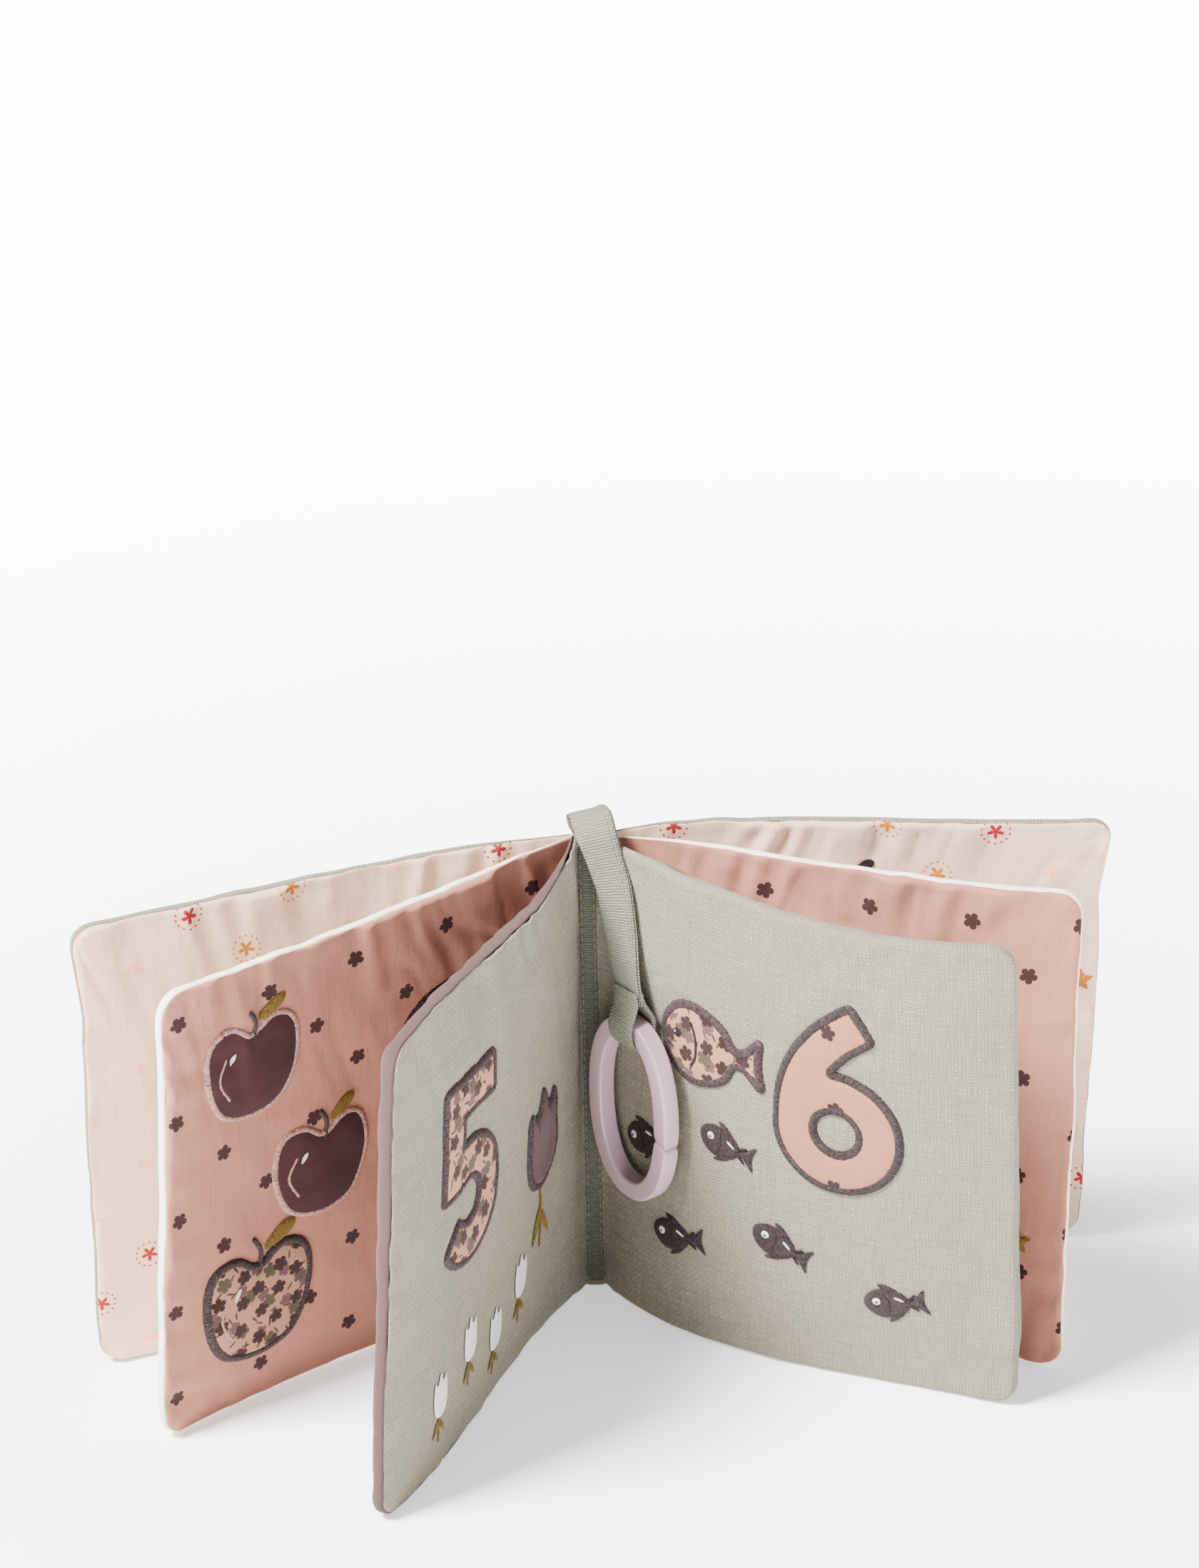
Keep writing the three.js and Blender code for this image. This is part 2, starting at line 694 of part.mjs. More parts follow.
const pictureShapes = {
  star: starShape,
  leaf: () => closedCurve([[0, 1.3], [0.95, 0.3], [0.2, -1.3], [-0.95, 0.3]]),
  apple: () => closedCurve([[0, 0.5], [0.8, 1.1], [1.15, 0], [0.45, -1.15], [-0.45, -1.15], [-1.15, 0], [-0.8, 1.1]]),
  cloud: () => closedCurve([[-1.1, -0.6], [-1.2, 0.3], [-0.5, 0.1], [-0.3, 0.9], [0.6, 0.8], [0.6, 0.2], [1.2, 0.2], [1.1, -0.6]]),
  tulip: () => closedCurve([[-0.75, 1.3], [-0.35, 0.5], [0, 1.5], [0.35, 0.5], [0.75, 1.3], [0.9, -0.6], [0, -1.1], [-0.9, -0.6]]),
  fish: () => closedCurve([[-1.2, 0.1], [-0.6, 0.85], [0.4, 0.6], [0.6, 0], [1.3, 0.9], [1, 0], [1.3, -0.9], [0.6, 0], [0.4, -0.6], [-0.6, -0.85]]),
  pear: () => closedCurve([[0, 1.25], [0.45, 0.6], [1.05, -0.5], [0.5, -1.2], [-0.5, -1.2], [-1.05, -0.5], [-0.45, 0.6]]),
  boat: () => closedCurve([[-1.2, -0.1], [0, 0.1], [0.1, 1.5], [0.5, 0.1], [1.2, -0.1], [0.7, -0.9], [-0.7, -0.9]]),
  kite: () => new THREE.Shape([[0, 1], [0.65, 0.25], [0, -1], [-0.65, 0.25]].map(([x, y]) => new THREE.Vector2(x, y))),
  mushroom: () => closedCurve([[-1.2, 0], [-0.8, 1.1], [0.8, 1.1], [1.2, 0], [0.3, 0.1], [0.4, -1.1], [-0.4, -1.1], [-0.3, 0.1]]),
};

function pictureGeometry(kind, size) {
  const shape = pictureShapes[kind]();
  const points = shape.getPoints(3).map((p) => p.multiplyScalar(size / 2));
  return flatPatch([new THREE.Shape(points)]);
}

// Lays a flat patch on a page. face is 1 for the page towards the middle spread, -1 for the other.
function layOnPage(flat, leaf, face, atLength, atHeight) {
  const fine = new TessellateModifier(patchEdge, 8).modify(flat);
  const places = fine.getAttribute('position');
  const points = [];
  for (let i = 0; i < places.count; i++) {
    const s = atLength * leaf.length + leaf.side * face * places.getX(i);
    const z = atHeight * pageHeight + places.getY(i);
    const n = face * (halfThickness(leaf, s, z) + patchGap + places.getZ(i));
    points.push(leafPoint(leaf, s, z, n));
  }
  const merged = mergeVertices(new THREE.BufferGeometry().setFromPoints(points));
  const corners = merged.getAttribute('position');
  const vectors = Array.from({ length: corners.count }, (_, i) => new THREE.Vector3().fromBufferAttribute(corners, i));
  const faces = [];
  for (let i = 0; i < merged.index.count; i += 3) {
    faces.push([merged.index.getX(i), merged.index.getX(i + 1), merged.index.getX(i + 2)]);
  }
  return closedGeometry(vectors, faces);
}

// Each page's numeral, at shares of the leaf's length and height
const numberShares = [
  { name: 'number_1', numeral: 1, leaf: 'left_cover', face: 1, at: [0.34, 0.6], look: 'linen' },
  { name: 'number_2', numeral: 2, leaf: 'left_middle', face: -1, at: [0.62, 0.62], look: 'pink' },
  { name: 'number_3', numeral: 3, leaf: 'left_middle', face: 1, at: [0.33, 0.6], look: 'linen' },
  { name: 'number_4', numeral: 4, leaf: 'left_inner', face: -1, at: [0.62, 0.62], look: 'cream' },
  { name: 'number_5', numeral: 5, leaf: 'left_inner', face: 1, at: [0.65, 0.6], look: 'floral' },
  { name: 'number_6', numeral: 6, leaf: 'right_inner', face: 1, at: [0.63, 0.63], look: 'pink' },
  { name: 'number_7', numeral: 7, leaf: 'right_inner', face: -1, at: [0.62, 0.62], look: 'linen' },
  { name: 'number_8', numeral: 8, leaf: 'right_middle', face: 1, at: [0.62, 0.62], look: 'linen' },
  { name: 'number_9', numeral: 9, leaf: 'right_middle', face: -1, at: [0.62, 0.62], look: 'plum' },
  { name: 'number_10_one', numeral: 1, leaf: 'right_cover', face: 1, at: [0.4, 0.6], look: 'mauve' },
  { name: 'number_10_nought', numeral: 0, leaf: 'right_cover', face: 1, at: [0.7, 0.6], look: 'mauve' },
];

const largePicture = 40;
const middlePicture = 34;

// Each page's applied pictures, at shares of the leaf's length and height
const pictureSharesByName = {
  page_1_star: { kind: 'star', size: largePicture, leaf: 'left_cover', face: 1, at: [0.72, 0.36], look: 'ochre' },
  page_2_leaf: { kind: 'leaf', size: largePicture, leaf: 'left_middle', face: -1, at: [0.26, 0.3], look: 'linen' },
  page_3_apple_top: { kind: 'apple', size: middlePicture, leaf: 'left_middle', face: 1, at: [0.8, 0.78], look: 'plum' },
  page_3_apple_middle: { kind: 'apple', size: middlePicture, leaf: 'left_middle', face: 1, at: [0.63, 0.5], look: 'plum' },
  page_3_apple_bottom: { kind: 'apple', size: largePicture, leaf: 'left_middle', face: 1, at: [0.78, 0.24], look: 'floral' },
  page_4_cloud: { kind: 'cloud', size: largePicture, leaf: 'left_inner', face: -1, at: [0.3, 0.3], look: 'offWhite' },
  page_5_tulip: { kind: 'tulip', size: middlePicture, leaf: 'left_inner', face: 1, at: [0.26, 0.46], look: 'mauve' },
  page_6_fish: { kind: 'fish', size: largePicture, leaf: 'right_inner', face: 1, at: [0.33, 0.66], look: 'floral' },
  page_7_pear: { kind: 'pear', size: largePicture, leaf: 'right_inner', face: -1, at: [0.28, 0.3], look: 'ochre' },
  page_8_boat: { kind: 'boat', size: largePicture, leaf: 'right_middle', face: 1, at: [0.3, 0.34], look: 'plum' },
  page_9_kite: { kind: 'kite', size: largePicture, leaf: 'right_middle', face: -1, at: [0.28, 0.3], look: 'mauve' },
  page_10_mushroom: { kind: 'mushroom', size: middlePicture, leaf: 'right_cover', face: 1, at: [0.78, 0.18], look: 'plum' },
};

function addPatches() {
  for (const { name, numeral, leaf, face, at, look } of numberShares) {
    const flat = flatPatch(numeralStrokes[numeral]());
    addMesh(name, layOnPage(flat, leaves[leaf], face, ...at), look);
  }
  for (const [name, { kind, size, leaf, face, at, look }] of Object.entries(pictureSharesByName)) {
    addMesh(name, layOnPage(pictureGeometry(kind, size), leaves[leaf], face, ...at), look);
  }
}

addLeaves();
addSpine();
addStrap();
addPatches();

export default root;
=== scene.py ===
import math

import bpy
import numpy as np
from mathutils import Matrix, Vector
from mathutils.geometry import delaunay_2d_cdt


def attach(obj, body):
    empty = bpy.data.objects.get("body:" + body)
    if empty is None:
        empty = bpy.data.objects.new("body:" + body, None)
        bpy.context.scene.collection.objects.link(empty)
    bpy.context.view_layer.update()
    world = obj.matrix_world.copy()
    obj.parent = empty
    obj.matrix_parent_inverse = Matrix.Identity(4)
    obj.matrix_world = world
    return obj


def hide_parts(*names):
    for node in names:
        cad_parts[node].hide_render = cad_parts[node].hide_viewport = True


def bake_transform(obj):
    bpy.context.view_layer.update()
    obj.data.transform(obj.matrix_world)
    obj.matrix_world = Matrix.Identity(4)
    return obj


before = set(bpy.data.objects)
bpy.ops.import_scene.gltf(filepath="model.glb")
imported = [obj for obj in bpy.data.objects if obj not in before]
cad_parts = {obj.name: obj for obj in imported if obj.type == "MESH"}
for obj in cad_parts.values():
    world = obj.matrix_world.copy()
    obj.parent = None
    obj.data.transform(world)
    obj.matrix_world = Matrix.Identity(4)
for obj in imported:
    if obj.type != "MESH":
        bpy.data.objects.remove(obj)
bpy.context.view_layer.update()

# Lengths are worked out in millimetres and placed in metres
MM = 0.001
UP = np.array([0.0, 0.0, 1.0])
QUARTER_TURN = math.pi / 2

# Page sizes, as in the CAD
PAGE_HEIGHT = 170.0
CORNER = 8.0
EDGE_THICKNESS = 5.6
LEAF_THICKNESS = 8.0
EDGE_ROUND = 2.6
ROOT_REACH = 50.0
CROWN_REACH = 28.0
ROOT_HALF = 0.6
HINGE_SPREAD = 4.9
FOLIO_PITCH = 1.8
ARC_STEPS = 24

# foot and head: the leaf's turns at its root, middle and edge, as shares of a quarter turn, as in
# the CAD. limp: how much the inner and the outer face wrinkle. seam: where the two faces meet
# round the edge, in degrees. corner: how far the upper outer corner is drawn out.
LEAVES = {
    "left_cover": dict(
        side=-1, folio=2, length=170.0, outer="linen", inner="cream", limp=(1.25, 0.45), seam=22,
        corner=2.2, foot=(-0.8878, -0.8022, -0.7933), head=(-0.87, -0.74, -0.74)),
    "left_middle": dict(
        side=-1, folio=1, length=169.0, outer="off_white", inner="pink", limp=(1.6, 0.55), seam=23,
        corner=1.0, foot=(-0.7411, -0.6133, -0.4822), head=(-0.5144, -0.5478, -0.5433)),
    "left_inner": dict(
        side=-1, folio=0, length=161.0, outer="mauve", inner="linen", limp=(0.8, 0.6), seam=46,
        corner=0.0, foot=(-0.38, -0.2189, -0.3656), head=(-0.07, -0.2733, -0.1944)),
    "right_inner": dict(
        side=1, folio=0, length=161.0, outer="mauve", inner="linen", limp=(0.55, 0.6), seam=-38,
        corner=0.0, foot=(0.2856, 0.7122, 0.6889), head=(0.5022, 0.5544, 1.0089)),
    "right_middle": dict(
        side=1, folio=1, length=163.0, outer="off_white", inner="pink", limp=(1.4, 0.55), seam=20,
        corner=0.5, foot=(0.8656, 0.7256, 0.7133), head=(0.9244, 0.7322, 0.9411)),
    "right_cover": dict(
        side=1, folio=2, length=169.0, outer="linen", inner="cream", limp=(1.25, 0.45), seam=24,
        corner=3.5, foot=(1.3456, 1.0733, 0.9144), head=(1.2844, 0.9333, 1.0667)),
}
for number, leaf in enumerate(LEAVES.values()):
    leaf["number"] = number
    leaf["figures"] = []


def smooth(x):
    t = np.clip(x, 0.0, 1.0)
    return t * t * (3 - 2 * t)


def travel(points):
    """How far along a row each of its points lies."""
    steps = np.linalg.norm(np.diff(points, axis=0), axis=1)
    return np.concatenate([[0], np.cumsum(steps)])


def through(places, per_span):
    """A smooth row of values through places, each a tuple of numbers."""
    p = np.array(places, float)
    p = np.vstack([2 * p[0] - p[1], p, 2 * p[-1] - p[-2]])
    rows = []
    for a, b, c, d in zip(p, p[1:], p[2:], p[3:]):
        for t in np.arange(per_span) / per_span:
            rows.append(0.5 * (2 * b + (c - a) * t + (2 * a - 5 * b + 4 * c - d) * t ** 2
                               + (3 * b - a - 3 * c + d) * t ** 3))
    rows.append(p[-2])
    return np.array(rows)


def turn_at(stations, t):
    """The curve through a leaf's turns at its root, middle and edge."""
    a, m, e = stations
    return a + (4 * m - 3 * a - e) * t + (2 * a - 4 * m + 2 * e) * t * t


def heading(leaf, s, z):
    t = s / leaf["length"]
    share = z / PAGE_HEIGHT
    turn = (1 - share) * turn_at(leaf["foot"], t) + share * turn_at(leaf["head"], t)
    return turn * QUARTER_TURN


def leaf_point(leaf, s, z, n):
    """The points s along a leaf, z up it and n out of its middle towards the middle spread."""
    x = np.full(s.shape, leaf["side"] * HINGE_SPREAD)
    y = np.full(s.shape, (leaf["folio"] - 1) * FOLIO_PITCH)
    for i in range(ARC_STEPS):
        a = heading(leaf, s * (i + 0.5) / ARC_STEPS, z)
        x = x + np.sin(a) * s / ARC_STEPS
        y = y - np.cos(a) * s / ARC_STEPS
    a = heading(leaf, s, z)
    x = x - leaf["side"] * np.cos(a) * n
    y = y - leaf["side"] * np.sin(a) * n
    return np.stack([x, y, z], axis=-1)


def half_thickness(leaf, s, z):
    to_edge = np.minimum(np.minimum(z, PAGE_HEIGHT - z), leaf["length"] - s)
    body = (EDGE_THICKNESS + (LEAF_THICKNESS - EDGE_THICKNESS) * smooth(to_edge / CROWN_REACH)) / 2
    return ROOT_HALF + (body - ROOT_HALF) * smooth(s / ROOT_REACH)


# Noise on a lattice of random values, the same in every run. Each layer starts elsewhere on it.
LATTICE_SIZE = 256
LATTICE = np.random.default_rng(11).random((LATTICE_SIZE, LATTICE_SIZE)) * 2 - 1
LAYER_START = (37, 59)
CREASE_WIDTH = 0.24


def noise(x, y, layer):
    """Smooth noise from -1 to 1."""
    ix, iy = np.floor(x).astype(int), np.floor(y).astype(int)
    fx, fy = smooth(x - ix), smooth(y - iy)

    def corner(dx, dy):
        i = ix + dx + layer * LAYER_START[0]
        j = iy + dy + layer * LAYER_START[1]
        return LATTICE[i % LATTICE_SIZE, j % LATTICE_SIZE]

    low = corner(0, 0) * (1 - fx) + corner(1, 0) * fx
    high = corner(0, 1) * (1 - fx) + corner(1, 1) * fx
    return low * (1 - fy) + high * fy


def crease(x, y, layer):
    """Narrow lines of 1 in a field of 0."""
    return 1 - smooth(np.abs(noise(x, y, layer)) / CREASE_WIDTH)


# The gathers at the seams and the soft waves between them: pattern, height, the edge that they fade
# from and how far they reach, what they wave along, with their waves' lengths, and layer of noise
GATHERS = [
    (noise, 1.9, "top", 24, "drift", 5.2, "z", 60, 0),
    (crease, -1.0, "top", 36, "drift", 10, "z", 60, 9),
    (noise, 0.8, "foot", 13, "drift", 6, "z", 50, 1),
    (noise, 0.8, "side", 11, "s", 40, "z", 7, 2),
    (noise, 1.3, "spine", 36, "s", 38, "rise", 9, 3),
    (crease, -0.7, "spine", 45, "s", 60, "rise", 16, 10),
    (noise, 0.9, "none", 1, "s", 36, "z", 42, 4),
    (noise, 0.38, "none", 1, "drift", 13, "rise", 15, 6),
]
# How the gathers wander: by how much, over what lengths along and up the page, and how they lean
DRIFT, RISE = (7, 55, 45, 0.25), (6, 45, 55, 0.2)
# At the very top the first two sink into the seam: from where, and over what length
SINKS = {noise: (-3, 9), crease: (0, 6)}
CALM_AT_SPINE = 14
# The inner leaves bulge beside the gutter tape
BULGE = {-1: 2.0, 1: 1.2}
BULGE_AT = 9
# Cloth is drawn in round a patch's stitches, and nowhere deeper than a share of its thickness
DENT, DENT_REACH = 0.5, 3.2
DEEPEST_SHARE = 0.65


def wandered(place, wander, s, z, lean_from, layer):
    by, along, up, lean = wander
    return place + by * noise(s / along, z / up, layer) + lean * lean_from


def relief(leaf, face, s, z):
    """How far the padded cloth stands out of its plain crown."""
    first_layer = leaf["number"] * 10 + (5 if face > 0 else 0)
    from_edge = {"top": PAGE_HEIGHT - z, "foot": z, "side": leaf["length"] - s, "spine": s, "none": 0.0}
    places = {"s": s, "z": z}
    places["drift"] = wandered(s, DRIFT, s, z, from_edge["top"], first_layer + 7)
    places["rise"] = wandered(z, RISE, s, z, s, first_layer + 8)
    r = np.zeros(s.shape)
    for pattern, height, edge, reach, x, x_wave, y, y_wave, layer in GATHERS:
        part = pattern(places[x] / x_wave, places[y] / y_wave, first_layer + layer)
        part = part * height * np.exp(-from_edge[edge] / reach)
        if edge == "top":
            start, over = SINKS[pattern]
            part = part * smooth((from_edge["top"] - start) / over)
        r = r + part
    r = r * leaf["limp"][0 if face > 0 else 1] * smooth(s / CALM_AT_SPINE)
    if face > 0 and leaf["folio"] == 0:
        r = r + BULGE[leaf["side"]] * (s / BULGE_AT) * np.exp(1 - s / BULGE_AT)
    for figure, at in leaf["figures"]:
        if at[2] == face:
            d = figure.distance((s - at[0]) * leaf["side"] * face, z - at[1])
            r = r - DENT * np.exp(-((d / DENT_REACH) ** 2))
    return r


def surface(leaf, face, s, z):
    """How far the outside of a face stands from the leaf's middle."""
    half = half_thickness(leaf, s, z)
    r = relief(leaf, face, s, z)
    deepest = DEEPEST_SHARE * half
    return half + np.where(r < 0, -deepest * np.tanh(-r / deepest), r)


# The free edges run a little wavy, in a zone beside each
EDGE_ZONE = 50
CORNER_ZONE = 40
SHORT_WAVE = 9


def edge_wave(near, at, wave, tall, short, rows, layer):
    """Long waves along an edge and, close to it, short ones: near is 1 at the edge."""
    long_waves = tall * noise(at[0] / wave + at[1], rows[0], layer)
    return long_waves + short * near ** 2 * noise(at[0] / SHORT_WAVE + at[1], rows[1], layer + 1)


def warp(leaf, s, z):
    """The page's own places, moved so that its free edges run a little wavy."""
    start = leaf["number"] * 7.3
    side = smooth((s - leaf["length"] + EDGE_ZONE) / EDGE_ZONE)
    top = smooth((z - PAGE_HEIGHT + EDGE_ZONE) / EDGE_ZONE)
    low = smooth((EDGE_ZONE - z) / EDGE_ZONE)
    out = side * edge_wave(side, (z, start), 33, 1.1, 0.4, (0.5, 2.5), 41)
    out = out + leaf["corner"] * side ** 2 * smooth((z - PAGE_HEIGHT + CORNER_ZONE) / CORNER_ZONE)
    up = top * edge_wave(top, (s, start), 36, 1.0, 0.4, (0.5, 1.5), 43)
    up = up + low * (0.45 + 0.2 * low ** 2 + edge_wave(low, (s, start), 36, 0.45, 0.2, (3.5, 4.5), 45))
    return s + out, z + up * smooth(s / 25)


def page_point(leaf, s, z, n):
    s, z, n = np.broadcast_arrays(np.asarray(s, float), np.asarray(z, float), np.asarray(n, float))
    return leaf_point(leaf, *warp(leaf, s, z), n)


class Figure:
    """A flat figure, as the distance to its outline on a fine grid: below 0 inside."""

    def __init__(self, solids, holes=(), soften=3, cell=0.5, margin=14):
        self.cell = cell
        every = np.concatenate(solids)
        self.low = every.min(0) - margin
        self.high = every.max(0) + margin
        nx, ny = np.ceil((self.high - self.low) / cell).astype(int) + 1
        gx = self.low[0] + cell * np.arange(nx)
        gy = self.low[1] + cell * np.arange(ny)
        x, y = np.meshgrid(gx, gy, indexing="ij")
        field = np.min([polygon_distance(p, x, y) for p in solids], axis=0)
        for p in holes:
            field = np.maximum(field, -polygon_distance(p, x, y))
        for _ in range(soften):
            for axis in (0, 1):
                field = (np.roll(field, 1, axis) + 2 * field + np.roll(field, -1, axis)) / 4
        self.field = field

    def distance(self, x, y):
        far = 99.0
        fx = (np.asarray(x) - self.low[0]) / self.cell
        fy = (np.asarray(y) - self.low[1]) / self.cell
        nx, ny = self.field.shape
        outside = (fx < 0) | (fy < 0) | (fx > nx - 2) | (fy > ny - 2)
        fx, fy = np.clip(fx, 0, nx - 2.001), np.clip(fy, 0, ny - 2.001)
        i, j = fx.astype(int), fy.astype(int)
        a, b = fx - i, fy - j
        f = self.field
        low = f[i, j] * (1 - a) + f[i + 1, j] * a
        high = f[i, j + 1] * (1 - a) + f[i + 1, j + 1] * a
        return np.where(outside, far, low * (1 - b) + high * b)

    def loops(self, level, step):
        """The outlines at a distance from the edge, as closed rows of points a step apart."""
        f = self.field - level
        inside = f < 0
        mixed = inside[:-1, :-1].astype(int) + inside[1:, :-1] + inside[1:, 1:] + inside[:-1, 1:]
        links = {}
        for i, j in np.argwhere((mixed > 0) & (mixed < 4)):
            ring = [(i, j), (i + 1, j), (i + 1, j + 1), (i, j + 1)]
            into, out = [], []
            for p, q in zip(ring, ring[1:] + ring[:1]):
                if inside[p] != inside[q]:
                    (out if inside[p] else into).append((min(p, q), max(p, q)))
            links.update(zip(into, out))
        found = []
        while links:
            key = next(iter(links))
            points = []
            while key in links:
                p, q = key
                t = f[p] / (f[p] - f[q])
                points.append(self.low + self.cell * (np.array(p) * (1 - t) + np.array(q) * t))
                key = links.pop(key)
            if len(points) > 8:
                found.append(resample(np.array(points), step))
        return found


def polygon_distance(polygon, x, y):
    """The distance of points from a polygon's edge, below 0 inside it."""
    best = np.full(x.shape, np.inf)
    inside = np.zeros(x.shape, bool)
    for (ax, ay), (bx, by) in zip(polygon, np.roll(polygon, -1, axis=0)):
        dx, dy = bx - ax, by - ay
        t = np.clip(((x - ax) * dx + (y - ay) * dy) / max(dx * dx + dy * dy, 1e-9), 0, 1)
        best = np.minimum(best, (x - ax - t * dx) ** 2 + (y - ay - t * dy) ** 2)
        if ay != by:
            inside ^= ((ay > y) != (by > y)) & (x < dx * (y - ay) / dy + ax)
    return np.where(inside, -1.0, 1.0) * np.sqrt(best)


def resample(points, step):
    """A closed row of points, respaced about a step apart and slightly smoothed."""
    closed = np.vstack([points, points[:1]])
    lengths = travel(closed)
    count = max(8, int(round(lengths[-1] / step)))
    at = np.arange(count) * lengths[-1] / count
    row = np.stack([np.interp(at, lengths, closed[:, k]) for k in (0, 1)], axis=-1)
    return (np.roll(row, 1, 0) + 2 * row + np.roll(row, -1, 0)) / 4


# Numerals drawn with a broad flat pen, as in the CAD. PEN is half the pen's width.
NUMBER_HEIGHT = 70.0
NUMBER_WIDTH = 46.0
PEN = 8.0
PEN_X = NUMBER_WIDTH / 2 - PEN
PEN_Y = NUMBER_HEIGHT / 2 - PEN
BOWL = PEN_X
SMALL_BOWL = PEN_X * 0.88


def stroke(points):
    points = np.array(points, float)
    along = np.gradient(points, axis=0)
    along /= np.hypot(*along.T)[:, None]
    side = np.stack([-along[:, 1], along[:, 0]], axis=-1) * PEN
    return np.concatenate([points + side, (points - side)[::-1]])


def line(x1, y1, x2, y2):
    return stroke([(x1, y1), (x2, y2)])


def arc(y, radius, start, end):
    a = np.radians(np.linspace(start, end, 25))
    return stroke(np.stack([radius * np.cos(a), y + radius * np.sin(a)], axis=-1))


def bend(*corners):
    t = np.linspace(0, 1, 25)[:, None]
    a, b, c = np.array(corners)
    return stroke((1 - t) ** 2 * a + 2 * t * (1 - t) * b + t * t * c)


def oval(x, y, rx, ry):
    a = np.linspace(0, 2 * math.pi, 48, endpoint=False)
    return np.stack([x + rx * np.cos(a), y + ry * np.sin(a)], axis=-1)


def ring(y, rx, ry):
    """A closed stroke, as its solid and its hole."""
    return [oval(0, y, rx + PEN, ry + PEN)], [oval(0, y, rx - PEN, ry - PEN)]


def six(sign):
    """A 6, or a 9 with sign -1."""
    solids, holes = ring(sign * (BOWL - PEN_Y), BOWL, BOWL)
    neck = bend((-sign * BOWL, sign * (BOWL - PEN_Y)), (-sign * BOWL, sign * PEN_Y * 0.55),
                (sign * BOWL * 0.75, sign * (PEN_Y + PEN / 2)))
    return solids + [neck], holes


def eight():
    top, bottom = ring(PEN_Y - SMALL_BOWL, SMALL_BOWL, SMALL_BOWL), ring(BOWL - PEN_Y, BOWL, BOWL)
    return top[0] + bottom[0], top[1] + bottom[1]


# Each numeral's solids and holes
NUMERALS = {
    0: ring(0, PEN_X, PEN_Y),
    1: ([line(0, -PEN_Y - PEN, 0, PEN_Y + PEN), line(-PEN_X, PEN_Y * 0.6, PEN * 0.2, PEN_Y)], []),
    2: ([arc(PEN_Y - BOWL, BOWL, 170, -35),
         line(BOWL * 0.9, PEN_Y - BOWL * 1.4, -PEN_X * 0.8, -PEN_Y),
         line(-PEN_X - PEN, -PEN_Y, PEN_X + PEN, -PEN_Y)], []),
    3: ([arc(PEN_Y - SMALL_BOWL, SMALL_BOWL, 160, -95), arc(BOWL - PEN_Y, BOWL, 95, -160)], []),
    4: ([line(PEN_X * 0.1, PEN_Y + PEN, -PEN_X, -PEN_Y * 0.35),
         line(-PEN_X - PEN, -PEN_Y * 0.4, PEN_X + PEN, -PEN_Y * 0.4),
         line(PEN_X * 0.45, PEN_Y * 0.35, PEN_X * 0.45, -PEN_Y - PEN)], []),
    5: ([line(PEN_X + PEN * 0.4, PEN_Y, -PEN_X * 0.75 - PEN, PEN_Y),
         line(-PEN_X * 0.75, PEN_Y, -PEN_X * 0.85, -PEN * 0.8),
         arc(BOWL - PEN_Y, BOWL, 128, -150)], []),
    6: six(1),
    7: ([line(-PEN_X - PEN, PEN_Y, PEN_X + PEN, PEN_Y),
         line(PEN_X, PEN_Y * 0.9, -PEN_X * 0.4, -PEN_Y - PEN)], []),
    8: eight(),
    9: six(-1),
}


def soft_curve(corners):
    """A closed soft curve, drawn in towards each of its corner points."""
    p = np.array(corners, float)
    t = np.linspace(0, 1, 8, endpoint=False)[:, None]
    rows = []
    for k, corner in enumerate(p):
        start, end = (p[k - 1] + corner) / 2, (corner + p[(k + 1) % len(p)]) / 2
        rows.append((1 - t) ** 2 * start + 2 * t * (1 - t) * corner + t * t * end)
    return np.concatenate(rows)


def mirrored(half):
    """The corners of a symmetric figure, from those of its right half, from the top round."""
    return half + [(-x, y) for x, y in half[::-1] if x > 0]


def star(points, inner):
    a = np.radians(90 + np.arange(2 * points) * 180 / points)
    r = np.where(np.arange(2 * points) % 2, inner, 1.0)
    return np.stack([r * np.cos(a), r * np.sin(a)], axis=-1)


# Pictures in a square from -1 to 1, as in the CAD, apart from the apple, which is rounder here
PICTURES = {
    "star": star(5, 0.45),
    "kite": np.array([(0, 1), (0.65, 0.25), (0, -1), (-0.65, 0.25)], float),
    "dot": oval(0, 0, 1, 1),
    "stem": np.array([(-1, -1), (1, -1), (1, 1), (-1, 1)], float),
    "leaf": soft_curve([(0, 1.3), (0.95, 0.3), (0.2, -1.3), (-0.95, 0.3)]),
    "apple": soft_curve(mirrored([(0, 0.66), (0.42, 1.1), (1.05, 0.92), (1.17, 0), (0.85, -0.85),
                                  (0.32, -1.12)])),
    "cloud": soft_curve([(-1.1, -0.6), (-1.2, 0.3), (-0.5, 0.1), (-0.3, 0.9), (0.6, 0.8), (0.6, 0.2),
                         (1.2, 0.2), (1.1, -0.6)]),
    "tulip": soft_curve(mirrored([(0, 1.5), (0.35, 0.5), (0.75, 1.3), (0.9, -0.6), (0, -1.1)])),
    "fish": soft_curve([(-1.2, 0.1), (-0.6, 0.85), (0.4, 0.6), (0.6, 0), (1.3, 0.9), (1, 0), (1.3, -0.9),
                        (0.6, 0), (0.4, -0.6), (-0.6, -0.85)]),
    "pear": soft_curve(mirrored([(0, 1.25), (0.45, 0.6), (1.05, -0.5), (0.5, -1.2)])),
    "boat": soft_curve([(-1.2, -0.1), (0, 0.1), (0.1, 1.5), (0.5, 0.1), (1.2, -0.1), (0.7, -0.9),
                        (-0.7, -0.9)]),
    "mushroom": soft_curve(mirrored([(0.8, 1.1), (1.2, 0), (0.3, 0.1), (0.4, -1.1)])),
}


